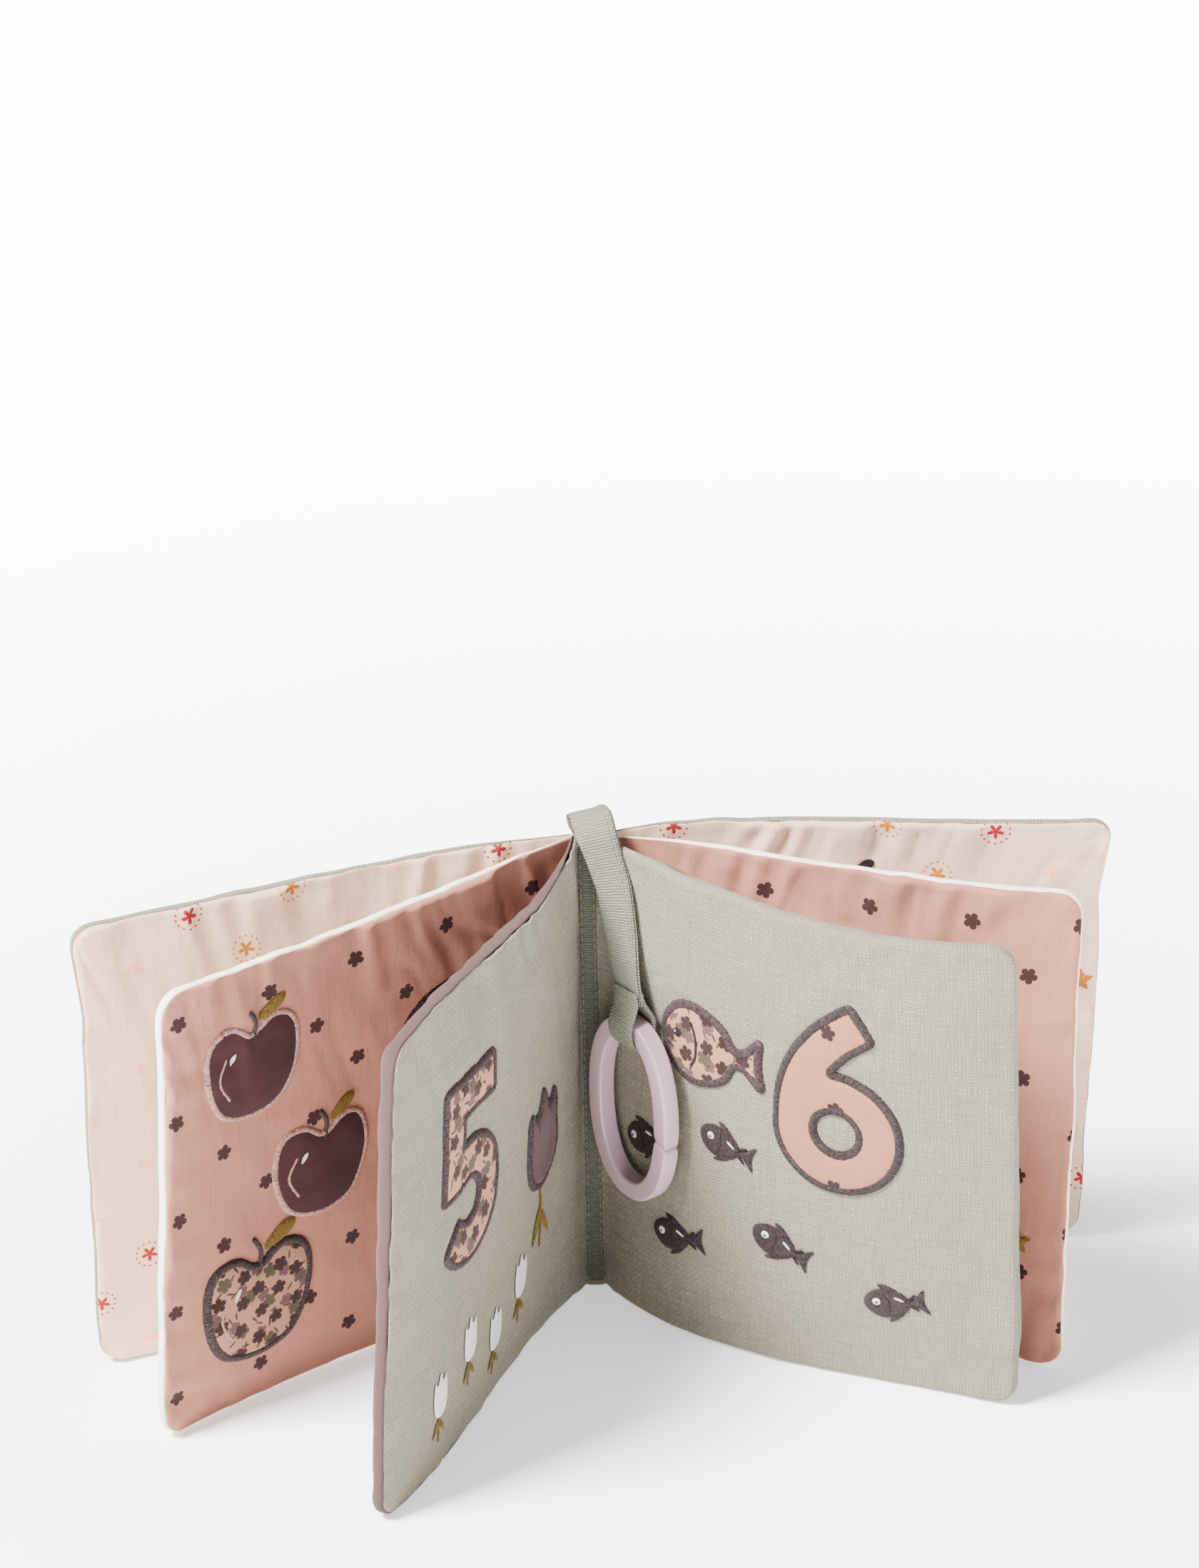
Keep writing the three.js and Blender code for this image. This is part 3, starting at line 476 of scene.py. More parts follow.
class Value:
    """A number or colour worked out by a material's nodes. Arithmetic on it adds Math nodes."""

    def __init__(self, look, socket):
        self.look = look
        self.socket = socket

    def math(self, operation, other=0.0):
        return self.look.math(operation, self, other)

    def __add__(self, other):
        return self.math("ADD", other)

    def __sub__(self, other):
        return self.math("SUBTRACT", other)

    def __rsub__(self, other):
        return self.look.math("SUBTRACT", other, self)

    def __mul__(self, other):
        return self.math("MULTIPLY", other)

    def __abs__(self):
        return self.math("ABSOLUTE")

    def clamped(self):
        return self.math("MINIMUM", 1.0).math("MAXIMUM", 0.0)


class Look:
    """A material under construction. Its u and v are millimetres of cloth."""

    def __init__(self, name, rough, **fixed):
        self.material = bpy.data.materials.new(name)
        self.material.use_nodes = True
        self.tree = self.material.node_tree
        self.tree.nodes.clear()
        self.shader = self.node("ShaderNodeBsdfPrincipled", Roughness=rough)
        for key, value in fixed.items():
            self.put(self.shader.inputs[key.replace("_", " ")], value)
        output = self.node("ShaderNodeOutputMaterial")
        self.put(output.inputs[0], Value(self, self.shader.outputs[0]))
        uv = self.node("ShaderNodeUVMap")
        uv.uv_map = "UVMap"
        self.u, self.v = self.parts("ShaderNodeSeparateXYZ", Value(self, uv.outputs[0]))[:2]

    def node(self, kind, settings=(), **inputs):
        node = self.tree.nodes.new(kind)
        for key, value in dict(settings).items():
            setattr(node, key, value)
        for key, value in inputs.items():
            self.put(node.inputs[key], value)
        return node

    def put(self, socket, value):
        """Links a socket to a value, or sets it to a number or a colour."""
        if isinstance(value, Value):
            self.tree.links.new(value.socket, socket)
        elif isinstance(value, tuple):
            socket.default_value = (*value, 1)
        else:
            socket.default_value = value

    def parts(self, kind, value):
        node = self.node(kind)
        self.put(node.inputs[0], value)
        return [Value(self, socket) for socket in node.outputs]

    def math(self, operation, a, b=0.0):
        node = self.node("ShaderNodeMath", {"operation": operation})
        self.put(node.inputs[0], a)
        self.put(node.inputs[1], b)
        return Value(self, node.outputs[0])

    def vector(self, x, y, z):
        return Value(self, self.node("ShaderNodeCombineXYZ", X=x, Y=y, Z=z).outputs[0])

    def noise(self, x, y, detail, layer):
        """Noise from 0 to 1, with waves about 1 long."""
        place = self.vector(x, y, layer)
        node = self.node("ShaderNodeTexNoise", Vector=place, Scale=1.0, Detail=detail)
        return Value(self, node.outputs[0])

    def grain(self, per_u, per_v, detail, layer):
        """Noise with its waves' lengths given by the counts per millimetre."""
        return self.noise(self.u * per_u, self.v * per_v, detail, layer)

    def mix(self, share, a, b, blend="MIX"):
        node = self.node("ShaderNodeMix", {"data_type": "RGBA", "blend_type": blend})
        for socket, value in ((0, share), (6, a), (7, b)):
            self.put(node.inputs[socket], value)
        return Value(self, node.outputs[2])

    def shade(self, color, share, low, high):
        """The colour, darkened or lightened as share goes from 0 to 1."""
        factor = share * (high - low) + low
        return self.mix(1.0, color, self.vector(factor, factor, factor), "MULTIPLY")

    def bump(self, height, depth, after=None):
        node = self.node("ShaderNodeBump", Height=height, Distance=depth * MM, Strength=1.0)
        if after is not None:
            self.put(node.inputs["Normal"], after)
        return Value(self, node.outputs[0])

    def finish(self, color, normal=None):
        self.put(self.shader.inputs["Base Color"], color)
        if normal is not None:
            self.put(self.shader.inputs["Normal"], normal)
        return self.material


def srgb(code):
    parts = [int(code[k:k + 2], 16) / 255 for k in (0, 2, 4)]
    return tuple(c / 12.92 if c <= 0.04045 else ((c + 0.055) / 1.055) ** 2.4 for c in parts)


def weave(look, pitch):
    """Plain weave: a dome where each thread crosses over, higher for the warp."""
    waves = []
    for a, b in ((look.u, look.v), (look.v, look.u)):
        wander = look.noise(a * 0.12, b * 1.4, 2.0, 3.0) * (pitch * 1.7)
        waves.append(((b + wander) * (math.pi / pitch)).math("SINE"))
    both = waves[0] * waves[1]
    return abs(both) + both * 0.35


def slubs(look):
    """Uneven thread, as long faint streaks along both threads."""
    return (look.grain(0.06, 1.1, 3.0, 1.0) + look.grain(1.1, 0.06, 3.0, 2.0)) * 0.5


def cloth(name, color, pitch=0.42, depth=0.05, contrast=0.14, crumple=0.6, sheen=0.1, printed=None):
    """Woven cloth: pitch is a thread's width, depth and crumple are how high threads and folds stand."""
    look = Look(name, 0.92, Sheen_Weight=sheen, Sheen_Roughness=0.5, Specular_IOR_Level=0.1)
    threads = weave(look, pitch)
    tone = printed(look, color) if printed else color
    tone = look.shade(tone, threads, 1 - contrast, 1 + contrast * 0.55)
    tone = look.shade(tone, slubs(look), 1 - contrast * 0.9, 1 + contrast * 0.9)
    tone = look.shade(tone, look.grain(1.3, 1.3, 3.0, 6.0), 1 - contrast * 0.7, 1 + contrast * 0.7)
    tone = look.shade(tone, look.grain(0.02, 0.02, 3.0, 5.0), 0.94, 1.06)
    folds = look.bump(look.grain(0.2, 0.06, 4.0, 9.0), crumple)
    return look.finish(tone, look.bump(threads, depth, folds))


def lattice(look, column, row, jitter, seed):
    """A half-drop repeat: the place within its cell, in mm, and three random values of the cell."""
    across = look.u * (1 / column) + seed * 0.37
    i = across.math("FLOOR")
    x = (across.math("FRACT") - 0.5) * column
    drop = i.math("FLOORED_MODULO", 2.0) * 0.5
    down = look.v * (1 / row) + drop + seed * 0.61
    j = down.math("FLOOR")
    y = (down.math("FRACT") - 0.5) * row
    rand = look.node("ShaderNodeTexWhiteNoise", Vector=look.vector(i, j, seed))
    r = look.parts("ShaderNodeSeparateColor", Value(look, rand.outputs["Color"]))[:3]
    return x + (r[0] - 0.5) * jitter, y + (r[1] - 0.5) * jitter, r[2]


def from_middle(x, y):
    return (x * x + y * y).math("SQRT")


def polar(look, x, y, turn):
    """How far a place is from its cell's middle, and its angle there, turned by a share of a turn."""
    return from_middle(x, y), look.math("ARCTAN2", y, x) + turn * (2 * math.pi)


# Prints run out over this many millimetres at their edges
PRINT_BLUR = 0.3


def petals(reach, angle, size, heart, power):
    """1 inside a figure with five lobes and 0 outside; heart is its share that isn't cut by them."""
    lobe = abs((angle * 2.5).math("COSINE")).math("POWER", power)
    edge = (lobe * (1 - heart) + heart) * size
    return ((edge - reach) * (1 / PRINT_BLUR) + 0.5).clamped()


def flowers(look, base, ink, column, row, size, jitter, seed):
    x, y, turn = lattice(look, column, row, jitter, seed)
    return look.mix(petals(*polar(look, x, y, turn), size, 0.5, 0.45), base, ink)


def leaflets(look, base, ink, column, row, seed):
    """Small slim leaves, each at its own angle."""
    x, y, turn = lattice(look, column, row, column * 0.5, seed)
    turn = turn * (2 * math.pi)
    c, s = turn.math("COSINE"), turn.math("SINE")
    along = x * c + y * s
    across = y * c - x * s
    reach = (along * along * 0.35 + across * across * 6.0).math("SQRT")
    return look.mix(((1.0 - reach) * 4.0 + 0.5).clamped(), base, ink)


def sparse_flowers(look, base):
    return flowers(look, base, srgb("321A1B"), 18.0, 36.0, 3.0, 3.0, 1.0)


def number_flowers(look, base):
    return flowers(look, base, srgb("2C171A"), 25.0, 29.0, 2.9, 4.0, 4.0)


def dense_flowers(look, base):
    color = leaflets(look, base, srgb("453A28"), 6.2, 8.4, 3.0)
    color = leaflets(look, color, srgb("3A2527"), 7.3, 9.4, 8.0)
    color = flowers(look, color, srgb("5A3E3E"), 9.6, 13.0, 2.6, 3.0, 2.0)
    color = flowers(look, color, srgb("473D2E"), 10.6, 14.2, 2.9, 3.0, 7.0)
    return flowers(look, color, srgb("2C1816"), 7.9, 10.8, 2.9, 2.6, 5.0)


def star_dots(look, base):
    """Small stars, some in a ring of dots, in red, ochre and peach."""
    x, y, chance = lattice(look, 18.0, 36.0, 3.0, 3.0)
    reach, angle = polar(look, x, y, 0.25)
    red = chance.math("GREATER_THAN", 0.62)
    ringed = chance.math("GREATER_THAN", 0.4)
    ink = look.mix(ringed, srgb("DE9C80"), srgb("A8601C"))
    ink = look.mix(red, ink, srgb("8E1720"))
    band = ((0.32 - abs(reach - 4.6)) * 4.0 + 0.5).clamped()
    beads = (((angle * 14.0).math("COSINE") - 0.35) * 3.0 + 0.5).clamped()
    color = look.mix(petals(reach, angle, 2.9, 0.3, 1.4), base, ink)
    return look.mix(band * beads * ringed, color, ink)


def satin(name, dark, light, pitch, slant):
    """Close satin stitches across a border: u runs along it, v across."""
    look = Look(name, 0.6, Sheen_Weight=0.03, Specular_IOR_Level=0.15)
    uneven = look.grain(0.9, 0.35, 2.0, 4.0)
    lean = look.u + look.v * slant + uneven * (pitch * 1.6)
    thread = (lean * (2 * math.pi / pitch)).math("SINE") * 0.5 + 0.5
    patchy = (look.grain(1.3, 0.8, 2.0, 8.0) * 2.4 - 0.75).clamped()
    color = look.shade(look.mix(patchy, dark, light), thread, 0.55, 1.15)
    return look.finish(color, look.bump(thread, 0.22))


def velvet(name, color):
    look = Look(name, 0.9, Sheen_Weight=0.12, Sheen_Roughness=0.35, Specular_IOR_Level=0.05)
    brushed = look.grain(0.05, 0.12, 4.0, 1.0)
    fine = look.grain(2.2, 2.2, 2.0, 2.0)
    tone = look.shade(look.shade(color, brushed, 0.72, 1.3), fine, 0.88, 1.12)
    return look.finish(tone, look.bump(fine, 0.12))


def webbing(name, color):
    """Knitted cotton tape: rows of small stitches across it, each row shifted by half a stitch."""
    look = Look(name, 0.95, Sheen_Weight=0.06, Specular_IOR_Level=0.08)
    along = look.v * (1 / 0.95) + look.grain(0.5, 0.9, 2.0, 7.0) * 0.9
    shifted = look.u * (1 / 1.3) + along.math("FLOOR") * 0.5
    row = abs((along * math.pi).math("SINE"))
    stitch = abs((shifted * math.pi).math("SINE"))
    threads = row * (stitch * 0.5 + 0.5)
    tone = look.shade(color, threads, 0.6, 1.28)
    tone = look.shade(tone, look.grain(1.6, 1.6, 3.0, 3.0), 0.86, 1.12)
    fuzz = look.bump(look.grain(3.0, 3.0, 3.0, 6.0), 0.08)
    return look.finish(tone, look.bump(threads, 0.34, fuzz))


def plastic(name, color):
    look = Look(name, 0.36, Specular_IOR_Level=0.5, Subsurface_Weight=0.12, Coat_Weight=0.1)
    look.shader.inputs["Subsurface Radius"].default_value = (1.0, 0.6, 0.6)
    look.shader.inputs["Subsurface Scale"].default_value = 0.002
    tone = look.shade(color, look.grain(0.08, 0.2, 3.0, 1.0), 0.97, 1.03)
    return look.finish(tone, look.bump(look.grain(0.6, 0.6, 3.0, 2.0), 0.02))


def thread(name, color):
    look = Look(name, 0.7, Sheen_Weight=0.2, Specular_IOR_Level=0.3)
    twist = ((look.u + look.v * 1.2) * 9.0).math("SINE") * 0.5 + 0.5
    return look.finish(look.shade(color, twist, 0.8, 1.1), look.bump(twist, 0.05))


LINEN, CREAM, PINK = srgb("80796A"), srgb("D4B29E"), srgb("A36D5C")
# Each look, with the record's material slot that it stands for
LOOKS = {
    "linen": (cloth("linen_canvas", LINEN, 1.15, 0.25, 0.26, 0.2, 0.08), "linen"),
    "cream": (cloth("cream_printed_cotton", CREAM, printed=star_dots), "cream_cotton"),
    "pink": (cloth("pink_printed_cotton", PINK, printed=sparse_flowers), "pink_cotton"),
    "off_white": (cloth("off_white_cotton", srgb("EEE5D1")), "off_white_cotton"),
    "mauve": (cloth("mauve_cotton", srgb("4D3B38")), "mauve_cotton"),
    "number_pink": (cloth("number_pink_cotton", srgb("9C6852"), printed=number_flowers), "pink_cotton"),
    "floral": (cloth("dense_floral_cotton", srgb("A0725E"), printed=dense_flowers), "floral_cotton"),
    "plum": (velvet("plum_velvet", srgb("3B2427")), "plum_cotton"),
    "mauve_patch": (velvet("mauve_brushed_cotton", srgb("4A3839")), "mauve_cotton"),
    "ochre": (cloth("ochre_cotton", srgb("9C6420")), "ochre_cotton"),
    "patch_linen": (cloth("patch_linen", LINEN, 0.9, 0.15, 0.16, 0.15, 0.08), "linen"),
    "patch_cream": (cloth("patch_cream", CREAM), "cream_cotton"),
    "patch_white": (cloth("patch_white", srgb("F2F0EB")), "off_white_cotton"),
    "patch_pink": (cloth("patch_pink", PINK), "pink_cotton"),
    "webbing": (webbing("strap_webbing", srgb("6F6E62")), "strap_webbing"),
    # The gutter tape is the strap's webbing in a darker colour: painted shade for the deep gutter
    "tape": (webbing("gutter_tape_shaded_webbing", srgb("5C5950")), "strap_webbing"),
    "ring": (plastic("link_plastic", srgb("A98E99")), "link_plastic"),
}
# The satin stitches stand for no slot: the colours of their hollows and crests, pitch and slant
for name, dark, light, pitch, slant in (
        ("dark_satin", "1A1314", "483A3C", 0.5, 0.5),
        ("brown_satin", "251A1B", "544345", 0.5, 0.5),
        ("pale_satin", "94685E", "D8AC9E", 0.5, 0.5),
        ("white_fill", "DDD9D2", "FAF8F4", 0.55, 0.9),
        ("plum_fill", "0D0708", "443236", 0.55, 0.8),
        ("ochre_fill", "54400F", "8A6D22", 0.5, 0.7),
        ("dark_fill", "120908", "2E1C19", 0.5, 0.7),
        ("amber_fill", "9A4A14", "C87830", 0.5, 0.7)):
    LOOKS[name] = (satin(f"{name}_stitch", srgb(dark), srgb(light), pitch, slant), None)
LOOKS["linen_thread"] = (thread("linen_thread", srgb("6E695D")), "linen")


def placed(name, data):
    """A new object in the scene."""
    thing = bpy.data.objects.new(name, data)
    bpy.context.scene.collection.objects.link(thing)
    return thing


class Heap:
    """Points, faces and UVs gathered for one piece."""

    def __init__(self):
        self.points, self.faces, self.uvs = [], [], []

    def add(self, points, faces, uvs):
        first = len(self.points)
        self.points += np.asarray(points).tolist()
        self.faces += [[first + k for k in face] for face in faces]
        self.uvs += np.asarray(uvs).tolist()

    def piece(self, name, look, body=None, replaces=()):
        mesh = bpy.data.meshes.new(name)
        mesh.from_pydata((np.array(self.points) * MM).tolist(), [], self.faces)
        mesh.polygons.foreach_set("use_smooth", [True] * len(mesh.polygons))
        layer = mesh.uv_layers.new(name="UVMap")
        corners = np.zeros(len(mesh.loops), int)
        mesh.loops.foreach_get("vertex_index", corners)
        layer.data.foreach_set("uv", np.array(self.uvs, np.float32)[corners].ravel())
        material, slot = LOOKS[look]
        mesh.materials.append(material)
        mesh.update()
        piece = placed(name, mesh)
        if replaces:
            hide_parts(*replaces)
        if body is not None:
            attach(piece, body)
        return piece


def quads(count, width, closed=False):
    """The faces between rows of points that lie one after the other."""
    faces = []
    for k in range(count - 1):
        for b in range(width if closed else width - 1):
            a, c = k * width + b, k * width + (b + 1) % width
            faces.append((a, a + width, c + width, c))
    return faces


def turned(faces, over=True):
    """The faces, turned over where over says so."""
    return [face[::-1] for face in faces] if over else faces


# The leaves' faces: the mesh's step along a page, its rows up it and its columns in a corner
FACE_STEP = 1.6
ROW_COUNT = 106
CORNER_COLUMNS = 8
INNER_RINGS, OUTER_RINGS = 9, 17
# The edge's roundness, and the groove that its seam draws in
EDGE_POWER = 0.78
GROOVE, GROOVE_DEGREES = 0.5, 7
# The seam wanders by this many degrees
SEAM_WANDER = 8


def edge_profile(half, angle, seam):
    """The pillow's section round its edge: out from the grid's rim, and n."""
    a = np.radians(angle)
    out = EDGE_ROUND * np.abs(np.cos(a)) ** EDGE_POWER
    up = np.sign(np.sin(a)) * np.abs(np.sin(a)) ** EDGE_POWER * half
    groove = GROOVE * np.exp(-(((angle - seam) / GROOVE_DEGREES) ** 2))
    return out - groove * np.cos(a), up - groove * np.abs(np.sin(a))


def leaf_face(name, leaf, face):
    """One padded face: a grid within its rounded outline, and rings that turn over its edge."""
    heap = Heap()
    corner_round = CORNER - EDGE_ROUND
    centre = leaf["length"] - CORNER
    straight = np.linspace(0, centre, int(centre / FACE_STEP))
    in_corner = centre + corner_round * np.sin(np.radians(np.linspace(0, 90, CORNER_COLUMNS)[1:]))
    stations = np.concatenate([straight, in_corner])
    into = np.maximum(stations - centre, 0)
    low = CORNER - np.sqrt(np.maximum(corner_round ** 2 - into ** 2, 0))
    s = np.repeat(stations[:, None], ROW_COUNT, 1)
    z = low[:, None] + (PAGE_HEIGHT - 2 * low)[:, None] * np.linspace(0, 1, ROW_COUNT)
    n = surface(leaf, face, s, z)
    columns = len(stations)
    over = leaf["side"] * face < 0
    heap.add(page_point(leaf, s, z, face * n).reshape(-1, 3), turned(quads(columns, ROW_COUNT), over),
             np.stack([s, z], axis=-1).reshape(-1, 2))

    # The grid's rim, along the foot, up the outer side and back along the head
    last = columns - 1
    i = np.concatenate([np.arange(columns), np.full(ROW_COUNT - 1, last), np.arange(last)[::-1]])
    j = np.concatenate([np.zeros(columns, int), np.arange(1, ROW_COUNT), np.full(last, ROW_COUNT - 1)])
    s, z, n = s[i, j], z[i, j], n[i, j]
    out_s = np.maximum(s - centre, 0) / corner_round
    out_z = (z - np.clip(z, CORNER, PAGE_HEIGHT - CORNER)) / corner_round
    wander = SEAM_WANDER * noise((s + z) / 4, s / 31, leaf["number"]) * smooth(s / 20)
    seam = leaf["seam"] + wander
    plain = half_thickness(leaf, s, z)
    travelled, step, up = np.zeros(len(i)), 0.0, n * face
    previous = i * ROW_COUNT + j
    rings = INNER_RINGS if face > 0 else OUTER_RINGS
    for ring_share in np.arange(1, rings + 1) / rings:
        angle = 90 * face + (seam - 90 * face) * ring_share
        puffed = np.sin(np.radians(np.abs(angle))) * (angle * face > 0)
        before = step, up
        step, up = edge_profile(plain + (n - plain) * puffed, angle, seam)
        travelled = travelled + np.hypot(step - before[0], up - before[1])
        current = len(heap.points) + np.arange(len(i))
        heap.add(page_point(leaf, s + out_s * step, z + out_z * step, up), [],
                 np.stack([s + out_s * travelled, z + out_z * travelled], axis=-1))
        corners = np.stack([current[:-1], current[1:], previous[1:], previous[:-1]], axis=-1)
        heap.faces += turned(corners.tolist(), over)
        previous = current
    if face > 0:
        piece = heap.piece(f"{name}_inner_panel", leaf["inner"], name, (f"{name}_inner_cloth",))
    else:
        piece = heap.piece(f"{name}_outer_panel", leaf["outer"], name,
                           (f"{name}_outer_cloth", f"{name}_padding"))


# Patches, their satin borders and embroidered figures. A patch's edge is tucked under its border,
# and its middle swells. The steps are a mesh's, along its outline and inside it.
PATCH_LIFT = 0.75
PATCH_TUCK = 0.3
PATCH_SWELL, SWELL_REACH = 0.45, 5
PATCH_STEPS = (1.3, 2.2)
BORDER_HALF, PALE_BORDER_HALF = 1.6, 1.1
BORDER_OUTSET = 0.25
STITCH_STEP = 0.4
# A row of stitches is as high as a share of its half width, up to the widest that counts
STITCH_DOME, HIGHEST_HALF = 0.75, 1.5
UNEVEN_WIDTH, UNEVEN_HEIGHT = 0.16, 0.12
FILL_EDGE, FILL_DOME, FILL_REACH = -0.05, 0.75, 1.4
FILL_STEPS = (0.5, 0.8)
BORDER_ROWS, LINE_ROWS = 8, 6


def to_page(leaf, at, xy, lift):
    """Points of a flat figure, laid on a page round at, its s, z and face."""
    s = at[0] + leaf["side"] * at[2] * xy[:, 0]
    z = at[1] + xy[:, 1]
    return page_point(leaf, s, z, at[2] * (surface(leaf, at[2], s, z) + lift))


def triangles(figure, level, loop_step, step):
    """A triangulation of a figure within a level, with points inside it a step apart."""
    points, edges = [], []
    for loop in figure.loops(level, loop_step):
        first = len(points)
        points += loop.tolist()
        edges += [(first + k, first + (k + 1) % len(loop)) for k in range(len(loop))]
    gx = np.arange(figure.low[0], figure.high[0], step)
    gy = np.arange(figure.low[1], figure.high[1], step)
    x, y = (a.ravel() for a in np.meshgrid(gx, gy))
    keep = figure.distance(x, y) < level - step * 0.5
    points += np.stack([x[keep], y[keep]], axis=-1).tolist()
    found = delaunay_2d_cdt([Vector(p) for p in points], edges, [], 0, 1e-4)
    xy = np.array([tuple(p) for p in found[0]])
    faces = np.array([tuple(f) for f in found[2]])
    middle = xy[faces].mean(1)
    return xy, faces[figure.distance(middle[:, 0], middle[:, 1]) < level].tolist()


def sweep(heap, leaf, at, path, travelled, half, lift, rows, closed):
    """A raised row of satin stitches along a path on a page. half may change along it."""
    along = np.roll(path, -1, 0) - np.roll(path, 1, 0) if closed else np.gradient(path, axis=0)
    along = along / np.maximum(np.hypot(*along.T), 1e-9)[:, None]
    side = np.stack([along[:, 1], -along[:, 0]], axis=-1)
    half = np.broadcast_to(half, travelled.shape)
    ragged = noise(travelled / STITCH_STEP, travelled / 7, 3)
    points, uvs = [], []
    for t in np.linspace(-1, 1, rows):
        width = half + UNEVEN_WIDTH * ragged * t * abs(t)
        dome = STITCH_DOME * np.minimum(half, HIGHEST_HALF) * math.sqrt(1 - t * t)
        dome = dome * (1 + UNEVEN_HEIGHT * ragged)
        points.append(to_page(leaf, at, path + side * (t * width)[:, None], lift * 1.1 - PATCH_LIFT + dome))
        uvs.append(np.stack([travelled, t * half], axis=-1))
    faces = turned(quads(rows, len(path), closed), leaf["side"] > 0)
    heap.add(np.concatenate(points), faces, np.concatenate(uvs))


def add_patch(name, leaf_name, at, figure, look, border):
    """A cloth figure sewn on a page, with satin stitches round its edge."""
    leaf = LEAVES[leaf_name]
    half = PALE_BORDER_HALF if border == "pale_satin" else BORDER_HALF
    level = BORDER_OUTSET - half
    xy, faces = triangles(figure, level, *PATCH_STEPS)
    swell = PATCH_SWELL * smooth(-figure.distance(xy[:, 0], xy[:, 1]) / SWELL_REACH)
    lift = PATCH_LIFT - PATCH_TUCK + swell
    patch = Heap()
    patch.add(to_page(leaf, at, xy, lift), turned(faces, leaf["side"] < 0), xy + at[:2])
    patch.piece(f"{name}_patch", look, leaf_name, (name,))
    stitched = Heap()
    for loop in figure.loops(level, STITCH_STEP):
        sweep(stitched, leaf, at, loop, travel(loop), half, PATCH_LIFT, BORDER_ROWS, True)
    stitched.piece(f"{name}_patch_stitched_border", border, leaf_name)


def add_lines(name, leaf_name, look, rows):
    """Lines of satin stitches on an inner page: (place, points of a smooth path, half width, lift)."""
    heap = Heap()
    for (s, z), corners, half, lift in rows:
        path = through(corners, 12)
        lengths = travel(path)
        spaced = np.linspace(0, lengths[-1], max(6, int(lengths[-1] / STITCH_STEP)))
        path = np.stack([np.interp(spaced, lengths, path[:, i]) for i in (0, 1)], axis=-1)
        taper = np.clip(np.minimum(spaced, spaced[-1] - spaced) / half * 0.8 + 0.3, 0, 1)
        sweep(heap, LEAVES[leaf_name], (s, z, 1), path, spaced, half * taper, lift, LINE_ROWS, False)
    heap.piece(name, look, leaf_name)


def rotation(degrees):
    c, s = math.cos(math.radians(degrees)), math.sin(math.radians(degrees))
    return (c, -s), (s, c)


def rotated(degrees, x, y):
    (a, b), (c, d) = rotation(degrees)
    return x * a + y * b, x * c + y * d


def add_embroidery(name, leaf_name, marks):
    """Figures filled with thread on an inner page: (kind, look, s, z, width, height, turn, lift)."""
    leaf = LEAVES[leaf_name]
    heaps = {}
    for kind, look, s, z, width, height, turn, lift in marks:
        shape = PICTURES[kind] * (width / 2, height / 2) @ np.array(rotation(turn)).T
        figure = Figure([shape], soften=1, cell=0.2, margin=2)
        xy, faces = triangles(figure, FILL_EDGE, *FILL_STEPS)
        dome = np.sqrt(np.clip(-figure.distance(xy[:, 0], xy[:, 1]) / FILL_REACH, 0, 1))
        heap = heaps.setdefault(look, Heap())
        heap.add(to_page(leaf, (s, z, 1), xy, lift + FILL_DOME * dome), turned(faces, leaf["side"] < 0),
                 xy + (s, z))
    for look, heap in heaps.items():
        heap.piece(f"{name}_{look}", look, leaf_name)


def numeral(digit):
    return Figure(*NUMERALS[digit])


def motif(kind, size):
    return Figure([PICTURES[kind] * size / 2])


def on_page(leaf_name, across, up):
    """A place on a page from its shares of the page's length and height."""
    return across * LEAVES[leaf_name]["length"], up * PAGE_HEIGHT


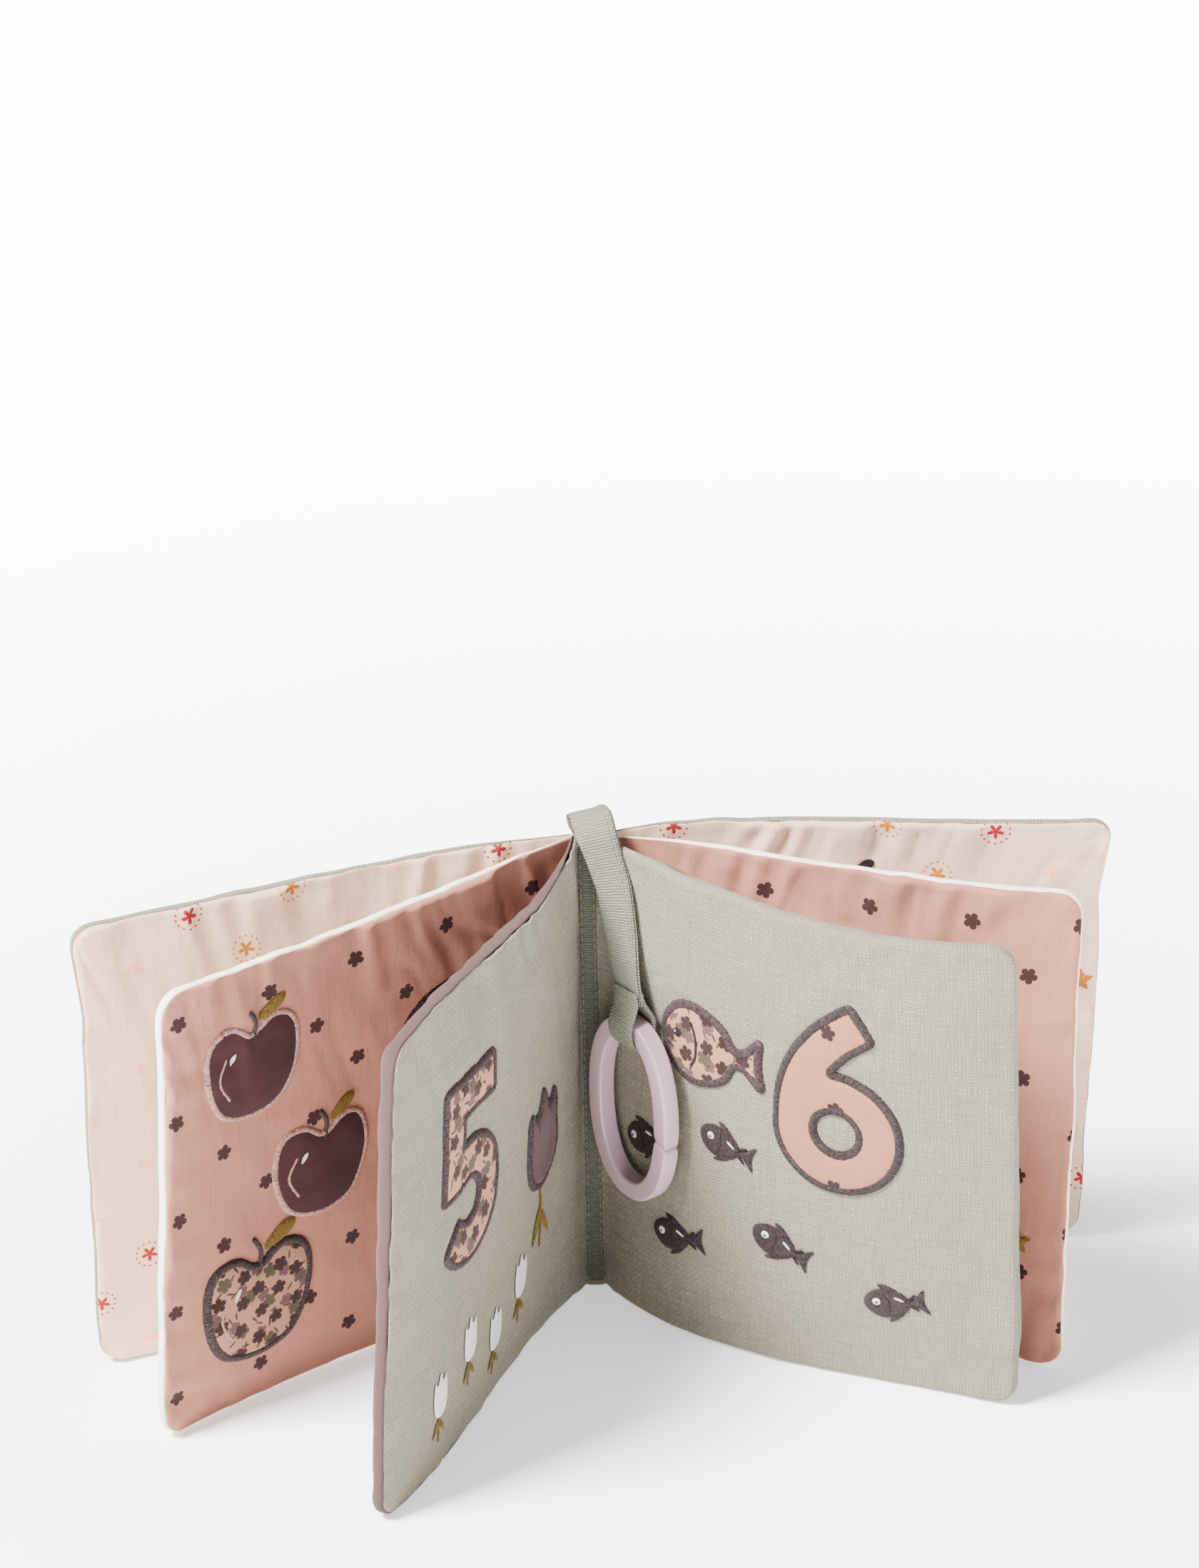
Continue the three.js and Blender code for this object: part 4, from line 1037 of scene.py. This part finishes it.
# Patches: figure, leaf, face, place as shares of the page, cloth and border
PATCHES = [
    ("number_1", numeral(1), "left_cover", 1, (0.34, 0.6), "patch_linen", "brown_satin"),
    ("number_2", numeral(2), "left_middle", -1, (0.62, 0.62), "patch_pink", "brown_satin"),
    ("number_3", numeral(3), "left_middle", 1, (0.33, 0.6), "patch_linen", "dark_satin"),
    ("number_4", numeral(4), "left_inner", -1, (0.62, 0.62), "patch_cream", "dark_satin"),
    ("number_5", numeral(5), "left_inner", 1, (0.65, 0.6), "floral", "brown_satin"),
    ("number_6", numeral(6), "right_inner", 1, (0.63, 0.63), "number_pink", "dark_satin"),
    ("number_7", numeral(7), "right_inner", -1, (0.62, 0.62), "patch_linen", "dark_satin"),
    ("number_8", numeral(8), "right_middle", 1, (0.62, 0.62), "patch_linen", "dark_satin"),
    ("number_9", numeral(9), "right_middle", -1, (0.62, 0.62), "plum", "pale_satin"),
    ("number_10_one", numeral(1), "right_cover", 1, (0.4, 0.6), "mauve_patch", "dark_satin"),
    ("number_10_nought", numeral(0), "right_cover", 1, (0.7, 0.6), "mauve_patch", "dark_satin"),
    ("page_1_star", motif("star", 40), "left_cover", 1, (0.72, 0.36), "ochre", "brown_satin"),
    ("page_2_leaf", motif("leaf", 40), "left_middle", -1, (0.26, 0.3), "patch_linen", "brown_satin"),
    ("page_3_apple_top", motif("apple", 34), "left_middle", 1, (0.8, 0.78), "plum", "pale_satin"),
    ("page_3_apple_middle", motif("apple", 34), "left_middle", 1, (0.63, 0.5), "plum", "pale_satin"),
    ("page_3_apple_bottom", motif("apple", 40), "left_middle", 1, (0.78, 0.24), "floral", "brown_satin"),
    ("page_4_cloud", motif("cloud", 40), "left_inner", -1, (0.3, 0.3), "patch_white", "brown_satin"),
    ("page_5_tulip", motif("tulip", 34), "left_inner", 1, (0.26, 0.46), "mauve_patch", "brown_satin"),
    ("page_6_fish", motif("fish", 40), "right_inner", 1, (0.33, 0.66), "floral", "brown_satin"),
    ("page_7_pear", motif("pear", 40), "right_inner", -1, (0.28, 0.3), "ochre", "dark_satin"),
    ("page_8_boat", motif("boat", 40), "right_middle", 1, (0.3, 0.34), "plum", "pale_satin"),
    ("page_9_kite", motif("kite", 40), "right_middle", -1, (0.28, 0.3), "mauve_patch", "dark_satin"),
    ("page_10_mushroom", motif("mushroom", 34), "right_cover", 1, (0.78, 0.18), "plum", "pale_satin"),
]

# The cloth is drawn in round each patch, so the leaves know their patches before they are made
for name, figure, leaf_name, face, share, look, border in PATCHES:
    LEAVES[leaf_name]["figures"].append((figure, (*on_page(leaf_name, *share), face)))
for name, leaf in LEAVES.items():
    leaf_face(name, leaf, 1)
    leaf_face(name, leaf, -1)
for name, figure, leaf_name, face, share, look, border in PATCHES:
    add_patch(name, leaf_name, (*on_page(leaf_name, *share), face), figure, look, border)

# Thread figures beside the patches, so that each spread shows its number of things. Page 5: tulips
small_tulips = []
for s, z in ((60, 36), (82, 28), (104, 37), (127, 29)):
    small_tulips += [
        ("stem", "ochre_fill", s, z - 10, 1.3, 15, 0, 0.1),
        ("leaf", "ochre_fill", s + 2.6, z - 11, 3.2, 9, -30, 0.2),
        ("leaf", "ochre_fill", s - 2.4, z - 12, 2.8, 7, 32, 0.2),
        ("tulip", "white_fill", s, z, 12, 15, 0, 0.3),
    ]
add_embroidery("page_5_small_tulips", "left_inner", small_tulips + [
    ("stem", "ochre_fill", 41.9, 50, 1.7, 24, 0, 0.1),
    ("leaf", "ochre_fill", 46.5, 48, 5, 16, -32, 0.2),
    ("leaf", "ochre_fill", 37.5, 46, 4.5, 14, 30, 0.2),
])
add_lines("page_5_tulip_petal_lines", "left_inner", "dark_satin", [
    (on_page("left_inner", 0.26, 0.46), [(x * 6.5, 14), (x * 5.5, 4), (x * 4.5, -6), (0, -13)], 0.6, 1.1)
    for x in (-1, 1)
])

# Page 6: small fish, each with two fins, an eye, a cheek, a gill and two rays in its tail
small_fish, eyes, gills, rays = [], [], [], []
for s, z, turn in ((25, 69, 20), (60, 79, -12), (40, 38, 8), (80, 47, -20), (120, 34, 14)):
    def beside(x, y):
        east, north = rotated(turn, x, y)
        return s + east, z + north

    small_fish.append(("fish", "plum_fill", s, z, 20, 15, turn, 0.2))
    for up in (1, -1):
        small_fish.append(("leaf", "plum_fill", *beside(-0.5, 5.4 * up), 3.2, 8, turn + 62 * up, 0.1))
    eyes.append(("dot", "white_fill", *beside(-5.6, 1.3), 3.0, 3.0, 0, 0.9))
    eyes.append(("dot", "dark_fill", *beside(-5.4, 1.3), 1.2, 1.2, 0, 1.5))
    eyes.append(("leaf", "white_fill", *beside(2.6, 1.6), 1.5, 4.6, turn + 60, 0.9))
    gill = [rotated(turn, x, y) for x, y in ((-2.4, 4), (-1.4, 0), (-2.4, -4))]
    gills.append(((s, z), gill, 0.5, 1.35))
    for up in (1, -1):
        ray = [rotated(turn, 5.2, 0.88 * up), rotated(turn, 8.4, 3.08 * up)]
        rays.append(((s, z), ray, 0.45, 1.2))
add_embroidery("page_6_small_fish", "right_inner", small_fish)
add_embroidery("page_6_small_fish_eyes", "right_inner", eyes)
add_lines("page_6_small_fish_gills", "right_inner", "dark_fill", gills)
add_lines("page_6_small_fish_rays", "right_inner", "dark_fill", rays)

fish_s, fish_z = on_page("right_inner", 0.33, 0.66)
add_embroidery("page_6_fish_eye", "right_inner", [
    ("dot", "dark_fill", fish_s - 12.5, fish_z + 2.5, 3.6, 3.6, 0, 1.1),
    ("dot", "white_fill", fish_s - 12.9, fish_z + 3.1, 1.2, 1.2, 0, 1.7),
])
add_lines("page_6_fish_lines", "right_inner", "dark_fill", [
    ((fish_s, fish_z), corners, half, 1.1) for corners, half in (
        ([(-7, 8.5), (-4.8, 4), (-4.6, -4), (-7, -8.5)], 0.85),
        ([(0.5, 6), (2.2, 2.5), (0.5, -0.5), (2.2, -3.5), (0.5, -6.5)], 0.6),
        ([(-17.5, -2.2), (-15.5, -3.4), (-13.5, -3)], 0.6),
        ([(14, 3.4), (18, 6.4)], 0.5),
        ([(14, -3.4), (18, -6.4)], 0.5))
])

# Page 3: stalks, inner lines, glints and leaves of the apples, in shares of half an apple's width
apples = [(*on_page("left_middle", 0.8, 0.78), 17), (*on_page("left_middle", 0.63, 0.5), 17),
          (*on_page("left_middle", 0.78, 0.24), 20)]


def apple_lines(corners, half_width, lift):
    return [((s, z), [(x * half, y * half) for x, y in corners], half_width, lift) for s, z, half in apples]


add_lines("page_3_apple_stalks", "left_middle", "brown_satin",
          apple_lines([(0, 0.55), (0.06, 0.95), (-0.1, 1.28)], 0.9, 1.0))
add_lines("page_3_apple_lines", "left_middle", "pale_satin",
          apple_lines([(-0.62, 0.42), (-0.8, -0.05), (-0.55, -0.55)], 0.75, 1.1))
add_embroidery("page_3_apple_glints", "left_middle", [
    ("leaf", "white_fill", s + half * 0.5, z + half * 0.35, half * 0.14, half * 0.3, -30, 1.1)
    for s, z, half in apples
])
add_embroidery("page_3_apple_leaves", "left_middle", [
    ("leaf", "ochre_fill", s - half * 0.42, z + half * 1.17, half * 0.42, half * 0.75, -62, 0.4)
    for s, z, half in apples
])

# Pages 8 and 10
add_embroidery("page_8_marks", "right_middle", [("star", "ochre_fill", 147, 45, 11, 11, 0, 0.3)])
add_lines("page_8_boat_lines", "right_middle", "pale_satin", [
    (on_page("right_middle", 0.3, 0.34), [(-16, -4), (-6, -6.5), (6, -6.5), (16, -4)], 0.7, 1.1),
])
add_embroidery("page_10_marks", "right_cover", [
    ("leaf", "dark_fill", 80, 151.5, 6, 9, 70, 0.4),
    ("leaf", "dark_fill", 89, 152.5, 6, 9, -60, 0.4),
    ("star", "amber_fill", 163, 108, 10, 10, 0, 0.3),
])
mushroom_s, mushroom_z = on_page("right_cover", 0.78, 0.18)
add_embroidery("page_10_mushroom_spots", "right_cover", [
    ("dot", "white_fill", mushroom_s + x, mushroom_z + y, size, size, 0, 1.1)
    for x, y, size in ((-8, 6, 4.2), (1, 9.5, 5.0), (9, 5.5, 3.8))
])


def strip(rows, uvs, closed=False):
    """A surface through rows of points, each of the same length."""
    rows = np.array(rows)
    heap = Heap()
    faces = turned(quads(*rows.shape[:2], closed))
    heap.add(rows.reshape(-1, 3), faces, np.array(uvs).reshape(-1, 2))
    return heap


def rounded_section(width, thickness, count, across_power, depth_power):
    """The outline of a flat strip with rounded edges, with its length round."""
    a = np.linspace(0, 2 * math.pi, count, endpoint=False)
    c, d = np.cos(a), np.sin(a)
    across = np.sign(c) * np.abs(c) ** across_power * width / 2
    depth = np.sign(d) * np.abs(d) ** depth_power * thickness / 2
    return np.stack([across, depth], axis=-1)


# Rows of thread stitches, each a thin spindle
STITCH_SIDES, STITCH_RINGS = 6, 7


def stitches(name, paths, body=None, length=2.3, gap=0.7, radius=0.2):
    heap = Heap()
    round_angles = np.linspace(0, 2 * math.pi, STITCH_SIDES, endpoint=False)
    for path in paths:
        travelled = travel(path)

        def on_path(at):
            return np.array([np.interp(at, travelled, path[:, i]) for i in range(3)])

        for start in np.arange(0.4, travelled[-1] - length, length + gap):
            points, uvs = [], []
            for share in np.linspace(0, 1, STITCH_RINGS):
                centre = on_path(start + share * length)
                along = Vector(on_path(start + share * length + 0.1) - centre).normalized()
                side = along.orthogonal().normalized()
                up = along.cross(side)
                r = radius * math.sqrt(max(1 - (2 * share - 1) ** 4, 0.02))
                for a in round_angles:
                    points.append(centre + (np.array(side) * math.cos(a) + np.array(up) * math.sin(a)) * r)
                    uvs.append((share * length, a * radius))
            heap.add(points, turned(quads(STITCH_RINGS, STITCH_SIDES, True)), uvs)
    return heap.piece(name, "linen_thread", body)


# The bands' points round them and up them, and the pitch of the tape's ribs
BAND_POINTS, BAND_ROWS = 64, 90
RIB_PITCH = 1.35


def band(name, width, y, thickness, low, high, look, replaces, waves=0.0, ribs=0.0):
    """An upright stitched strip of cloth with rounded edges, ribbed on its front."""
    section = rounded_section(width, thickness, BAND_POINTS, 0.6, 0.6)
    x, depth = section.T
    flat_front = (depth < 0) & (np.abs(x) < width / 2 * 0.98)
    depth = depth - np.where(flat_front, ribs * np.cos(2 * math.pi * x / RIB_PITCH), 0.0)
    around = travel(np.stack([x, depth], axis=-1))
    rows, uvs = [], []
    for z in np.linspace(low, high, BAND_ROWS):
        wave = waves * noise(z / 7, 0.5, 2)
        taper = 0.9 if z in (low, high) else 1.0
        rows.append(np.stack([x * (1 + 0.03 * wave) * taper, y + depth * taper + 0.12 * wave,
                              np.full(len(x), z)], axis=-1))
        uvs.append(np.stack([around, np.full(len(x), z)], axis=-1))
    strip(rows, uvs, True).piece(name, look, "spine", (replaces,))


# The flat bands of the three folios, and the tape sewn over them in the middle spread
BAND_THICKNESS = 1.5
TAPE_THICKNESS = 1.0
TAPE_GAP = 0.3
TAPE_Y = -FOLIO_PITCH - BAND_THICKNESS / 2 - TAPE_GAP - TAPE_THICKNESS / 2
band("cover_gutter_band", 8.0, FOLIO_PITCH, BAND_THICKNESS, 0.3, 169.8, "linen", "cover_gutter", 0.4)
band("middle_gutter_band", 6.2, 0.0, BAND_THICKNESS, 0.0, 170.0, "patch_pink", "middle_gutter")
band("inner_gutter_band", 6.2, -FOLIO_PITCH, BAND_THICKNESS, 0.3, 169.8, "linen", "inner_gutter")
# The tape's look is darker than the strap's, as painted shade in the gutter
band("gutter_tape_strip", 5.5, TAPE_Y, TAPE_THICKNESS, 2.8, 167.2, "tape", "gutter_tape", 0.8, 0.12)


def upright_seams(name, x, y):
    """Two upright rows of stitches on the spine."""
    heights = np.linspace(3.5, PAGE_HEIGHT - 3.5, 80)
    paths = [np.stack([heights * 0 + x * side, heights * 0 + y, heights], axis=-1) for side in (-1, 1)]
    stitches(name, paths, "spine")


upright_seams("gutter_tape_stitches", 2.1, TAPE_Y - 0.5)
upright_seams("cover_spine_stitches", 3.1, FOLIO_PITCH + 0.85)


def spine_fold(name, leaf_name, face, places, ends, body=None):
    """Cloth that dips from just under a page's face, at (s, depth), to the ends at the spine."""
    leaf = LEAVES[leaf_name]
    s, depth = np.array(places).T
    rows, uvs = [], []
    for z in np.linspace(0.8, PAGE_HEIGHT - 0.8, BAND_ROWS):
        heights = np.full(len(s), z)
        page = page_point(leaf, s, heights, face * (surface(leaf, face, s, heights) - depth))
        row = np.vstack([page, [(leaf["side"] * x, y, z) for x, y in ends]])
        rows.append(row)
        uvs.append([(-t, z) for t in travel(row)])
    return strip(rows, uvs).piece(name, "linen", body)


for leaf_name in ("left_inner", "right_inner"):
    fold = spine_fold(f"{leaf_name}_gutter_fold", leaf_name, 1,
                      [(8.0, 0.45), (6.5, 0.2), (5.0, 0.0), (3.6, -0.06)], [(3.6, -2.78), (2.4, -2.72)])
    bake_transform(fold)
for leaf_name in ("left_cover", "right_cover"):
    spine_fold(f"{leaf_name}_spine_fold", leaf_name, -1,
               [(5.0, 0.2), (3.5, 0.12), (2.0, 0.05), (0.6, 0.0)], [(4.5, 2.54), (4.04, 2.4)], leaf_name)


# The strap: places as shares of its reaches and its drop, then shares of its turn and tilt, as in the
# CAD, and of its width
STRAP_WIDTH = 12.5
STRAP_PEAK = PAGE_HEIGHT + 8.8
REACH_RIGHT = 13.9
REACH_FRONT = 27.0
DROP = 65.4
TURN, TILT = 0.589 * QUARTER_TURN, 0.155 * QUARTER_TURN
TAB = [
    (0, -0.139, 0.46, 0, 0, 0.62), (0, -0.139, 0.2, 0, 0, 0.64), (-0.1, -0.15, 0.1, 0, 0.3, 0.76),
    (-0.06, -0.13, 0.034, 0, 0.8, 0.95), (0.05, -0.06, 0.008, 0, 1, 1.04),
    (0.08, 0.03, 0.002, 0, 1, 1.08),
]
HANGING = [
    (0.1, 0.08, 0, 0, 1, 1.1), (0.16, 0.2, 0.022, 0, 1, 1.12), (0.26, 0.34, 0.084, 0.04, 1, 1.08),
    (0.38, 0.41, 0.16, 0.1, 1, 1), (0.53, 0.48, 0.26, 0.25, 0.9, 1),
    (0.65, 0.56, 0.36, 0.45, 0.75, 1), (0.78, 0.67, 0.57, 0.7, 0.4, 1),
    (0.88, 0.84, 0.755, 0.93, 0.15, 1), (0.97, 0.96, 0.876, 1, 0, 1),
]
# The tape is folded lengthwise: its layers' thickness and how far each lies from the middle
LAYER_THICKNESS = 0.86
LAYER_LIFT = 0.42
# Two places over the fold at the top, between the spine and the strap; no blend is made between them
FOLD_START, FOLD_END = (0.0020, 0.0016, 0.1805), (0.0022, -0.0052, 0.1805)


def unit(vectors):
    return vectors / np.linalg.norm(vectors, axis=-1, keepdims=True)


def strap_frames(places):
    """The strap's middle line, with its direction across, out of the tape, and its share of width."""
    rows = through(places, 7)
    centre = np.stack([rows[:, 0] * REACH_RIGHT, -rows[:, 1] * REACH_FRONT, STRAP_PEAK - rows[:, 2] * DROP],
                      axis=-1)
    turn, tilt = rows[:, 3] * TURN, rows[:, 4] * TILT
    across = np.stack([np.cos(turn) * np.cos(tilt), -np.sin(turn) * np.cos(tilt), np.sin(tilt)], axis=-1)
    out = unit(np.cross(across, unit(np.gradient(centre, axis=0))))
    return centre, across, out, rows[:, 5]


def ribbon(centre, across, out, shares, width, thickness, shift=0.0, lift=0.0):
    """Tape along a line, a little uneven in its place and width."""
    section = rounded_section(width, thickness, 40, 0.3, 0.75)
    travelled = travel(centre)
    spread = travel(section)
    centre = centre + out * (0.12 * noise(travelled / 7, travelled / 40, 6))[:, None]
    shares = shares * (1 + 0.018 * noise(travelled / 5, travelled / 30, 8))
    rows, uvs = [], []
    for k, share in enumerate(shares):
        end = 0.93 if k in (0, len(shares) - 1) else 1.0
        x = section[:, :1] * share * end + shift
        d = section[:, 1:] * end + lift
        rows.append(centre[k] + across[k] * x + out[k] * d)
        uvs.append([(w, travelled[k]) for w in spread])
    return strip(rows, uvs, True)


centre, across, out, shares = strap_frames(TAB + HANGING)
for layer, shift, lift, hidden in (("front", 0.0, LAYER_LIFT, ("strap_end_tab", "hanging_strap")),
                                   ("back", 0.35, -LAYER_LIFT, ())):
    tape = ribbon(centre, across, -out, shares, STRAP_WIDTH - 0.4, LAYER_THICKNESS, shift, lift)
    piece = tape.piece(f"strap_{layer}_layer", "webbing", None, hidden)
    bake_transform(piece)
    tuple(FOLD_START)
    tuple(FOLD_END)
seams = [centre + across * (offset * shares)[:, None] - out * 0.9 for offset in (4.1, 5.2)]
piece = stitches("strap_stitches", seams, None, 2.2, 0.6, 0.27)
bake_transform(piece)
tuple(FOLD_START)
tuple(FOLD_END)

# The loop at the strap's end: places out of the tape's front, up, and across
LOOP_CENTRE = np.array([REACH_RIGHT, -REACH_FRONT, STRAP_PEAK - DROP])
ACROSS = np.array([math.cos(TURN), -math.sin(TURN), 0.0])
OUT = np.array([math.sin(TURN), math.cos(TURN), 0.0])
LOOP = [(1.9, 12.5, -2.8), (1.75, 9.5, -1.5), (3.0, 6.4, -0.6), (4.8, 3.2, 0), (5.05, 0, 0), (4.4, -4, 0),
        (2.3, -6.7, 0), (0, -7.35, 0), (-2.3, -6.7, 0), (-4.4, -4, 0), (-5.05, 0, 0), (-4.4, 3.2, 0),
        (-2.4, 6.4, -0.6), (-1.0, 9.5, -1.5), (-0.75, 12.5, -2.8)]
centre = LOOP_CENTRE + through(LOOP, 5) @ np.array([OUT, UP, ACROSS])
across = np.tile(ACROSS, (len(centre), 1))
out = np.cross(across, unit(np.gradient(centre, axis=0)))
loop = ribbon(centre, across, out, np.ones(len(centre)), STRAP_WIDTH, 1.4)
loop.piece("strap_end_loop", "webbing", "strap", ("strap_loop",))
seams = [LOOP_CENTRE + np.outer(np.linspace(-5.4, 5.4, 12) - 1.7, ACROSS) - OUT * 1.8 + UP * height
         for height in (9.6, 11.2)]
stitches("strap_end_seam", seams, "strap", 2.0, 0.5, 0.22)

# The link: an oval bar with soft corners and a slit, hanging in the loop
LINK_LENGTH = 67.0
LINK_WIDTH = 41.6
LINK_SECTION = 6.5
LINK_CORNER = 0.9
LINK_SAG = 0.5
LINK_STEPS = 150
ROUNDNESS = 2.2
SLIT = 0.7
SLIT_DROP = 6.8
SLIT_SLANT = 0.3
SLANTED_STEPS = 8
END_SCALES = (0.86, 0.95, 0.99)
CLOSED_SCALE = 0.02
LINK_STEP_LENGTH = 1.2
HALF_WIDTH = (LINK_WIDTH - LINK_SECTION) / 2
HALF_LENGTH = (LINK_LENGTH - LINK_SECTION) / 2
LINK_CENTRE = LOOP_CENTRE - UP * (LINK_SAG + HALF_LENGTH)


def link_at(angle):
    c, d = math.cos(angle), math.sin(angle)
    x = math.copysign(abs(c) ** (2 / ROUNDNESS), c) * HALF_WIDTH
    z = math.copysign(abs(d) ** (2 / ROUNDNESS), d) * HALF_LENGTH
    return LINK_CENTRE + ACROSS * x + UP * z


def link_section():
    """The square section with rounded corners, as places along the radius and out of the link."""
    straight = LINK_SECTION / 2 - LINK_CORNER
    points = []
    for x, y, first in ((1, 1, 0), (-1, 1, 90), (-1, -1, 180), (1, -1, 270)):
        for a in np.radians(np.arange(first, first + 91, 18)):
            points.append((x * straight + math.cos(a) * LINK_CORNER,
                           y * straight + math.sin(a) * LINK_CORNER))
    return np.array(points)


section = link_section()
slit_angle = -math.asin((SLIT_DROP / HALF_LENGTH) ** (ROUNDNESS / 2))
slit_half = SLIT / 2 / HALF_LENGTH
rows, uvs = [], []
# The first and the last row are drawn in to a point, so that they close the bar's ends
for k in (0, *range(LINK_STEPS + 1), LINK_STEPS):
    angle = slit_angle + slit_half + (2 * math.pi - 2 * slit_half) * k / LINK_STEPS
    along = unit(link_at(angle + 0.002) - link_at(angle - 0.002))
    radial = np.cross(along, OUT)
    from_end = min(k, LINK_STEPS - k)
    scale = END_SCALES[from_end] if from_end < len(END_SCALES) else 1.0
    slant = along * SLIT_SLANT * max(0, 1 - from_end / SLANTED_STEPS)
    if len(rows) in (0, LINK_STEPS + 2):
        scale, slant = CLOSED_SCALE, 0.0
    rows.append(link_at(angle) + (section @ np.array([radial + slant, OUT])) * scale)
    uvs.append([(k * LINK_STEP_LENGTH, f) for r, f in section])
strip(rows, uvs, True).piece("link_ring_body", "ring", "link", ("link_ring",))

# The floor: white paper that glows as painted light, more the farther it is from the book, at BOOK_U and
# BOOK_V
FLOOR_WEST, FLOOR_SOUTH, FLOOR_SIZE = -6, -4, 12
BOOK_U, BOOK_V = 0.5, 0.328
GLOW_NEAR, GLOW_FAR = 0.7, 9.0
floor_mesh = bpy.data.meshes.new("floor")
east, north = FLOOR_WEST + FLOOR_SIZE, FLOOR_SOUTH + FLOOR_SIZE
floor_mesh.from_pydata([(FLOOR_WEST, FLOOR_SOUTH, 0), (east, FLOOR_SOUTH, 0), (east, north, 0),
                        (FLOOR_WEST, north, 0)], [], [(0, 1, 2, 3)])
floor_mesh.uv_layers.new(name="UVMap")
floor = placed("floor", floor_mesh)
paper = Look("floor_paper", 0.9, Emission_Color=(1, 1, 1))
x, y = (paper.u - BOOK_U) * FLOOR_SIZE, (paper.v - BOOK_V) * FLOOR_SIZE
far = ((from_middle(x, y) - 0.2) * 1.2).clamped()
paper.put(paper.shader.inputs["Emission Strength"], far * GLOW_FAR + GLOW_NEAR)
floor_mesh.materials.append(paper.finish(srgb("F7F6F4")))

world = bpy.data.worlds.new("studio")
world.use_nodes = True
background = world.node_tree.nodes["Background"]
background.inputs["Color"].default_value = (0.95, 0.97, 1.0, 1)
background.inputs["Strength"].default_value = 0.5
bpy.context.scene.world = world


def area_light(name, place, size, power, color):
    """A square lamp aimed at the middle of the book."""
    data = bpy.data.lights.new(name, "AREA")
    data.shape = "RECTANGLE"
    data.size = data.size_y = size
    data.energy = power
    data.color = color
    lamp = placed(name, data)
    lamp.location = place
    lamp.rotation_mode = "QUATERNION"
    lamp.rotation_quaternion = (Vector((0, 0, 0.08)) - Vector(place)).to_track_quat("-Z", "Y")


area_light("key", (-1.064, -0.627, 1.78), 0.65, 300, (1.0, 0.985, 0.965))
area_light("fill", (1.6, -0.8, 0.95), 1.2, 21, (0.95, 0.97, 1.0))

# The photograph's camera, from the page corners. FOCAL and RISE are in the photo's pixels.
PHOTO_HEIGHT = 2197
FOCAL = 6500.0
RISE = 8.2
SENSOR = 36.0
PITCH, ROLL = math.radians(24.225), math.radians(-1.234)
CAMERA_PLACE = Vector((0.00478, -1.39324, 0.81343))
right = Vector((1, 0, 0))
up = Vector((0, math.sin(PITCH), math.cos(PITCH)))
forward = Vector((0, math.cos(PITCH), -math.sin(PITCH)))
image_right = right * math.cos(ROLL) + up * math.sin(ROLL)
image_up = up * math.cos(ROLL) - right * math.sin(ROLL)
camera_data = bpy.data.cameras.new("camera")
camera_data.sensor_fit = "AUTO"
camera_data.sensor_width = SENSOR
camera_data.lens = FOCAL / PHOTO_HEIGHT * SENSOR
camera_data.shift_y = RISE / PHOTO_HEIGHT
camera_data.clip_start = 0.05
camera_data.clip_end = 30
camera = placed("camera", camera_data)
turned_to = Matrix((image_right, image_up, -forward)).transposed().to_4x4()
camera.matrix_world = Matrix.Translation(CAMERA_PLACE) @ turned_to
bpy.context.scene.camera = camera
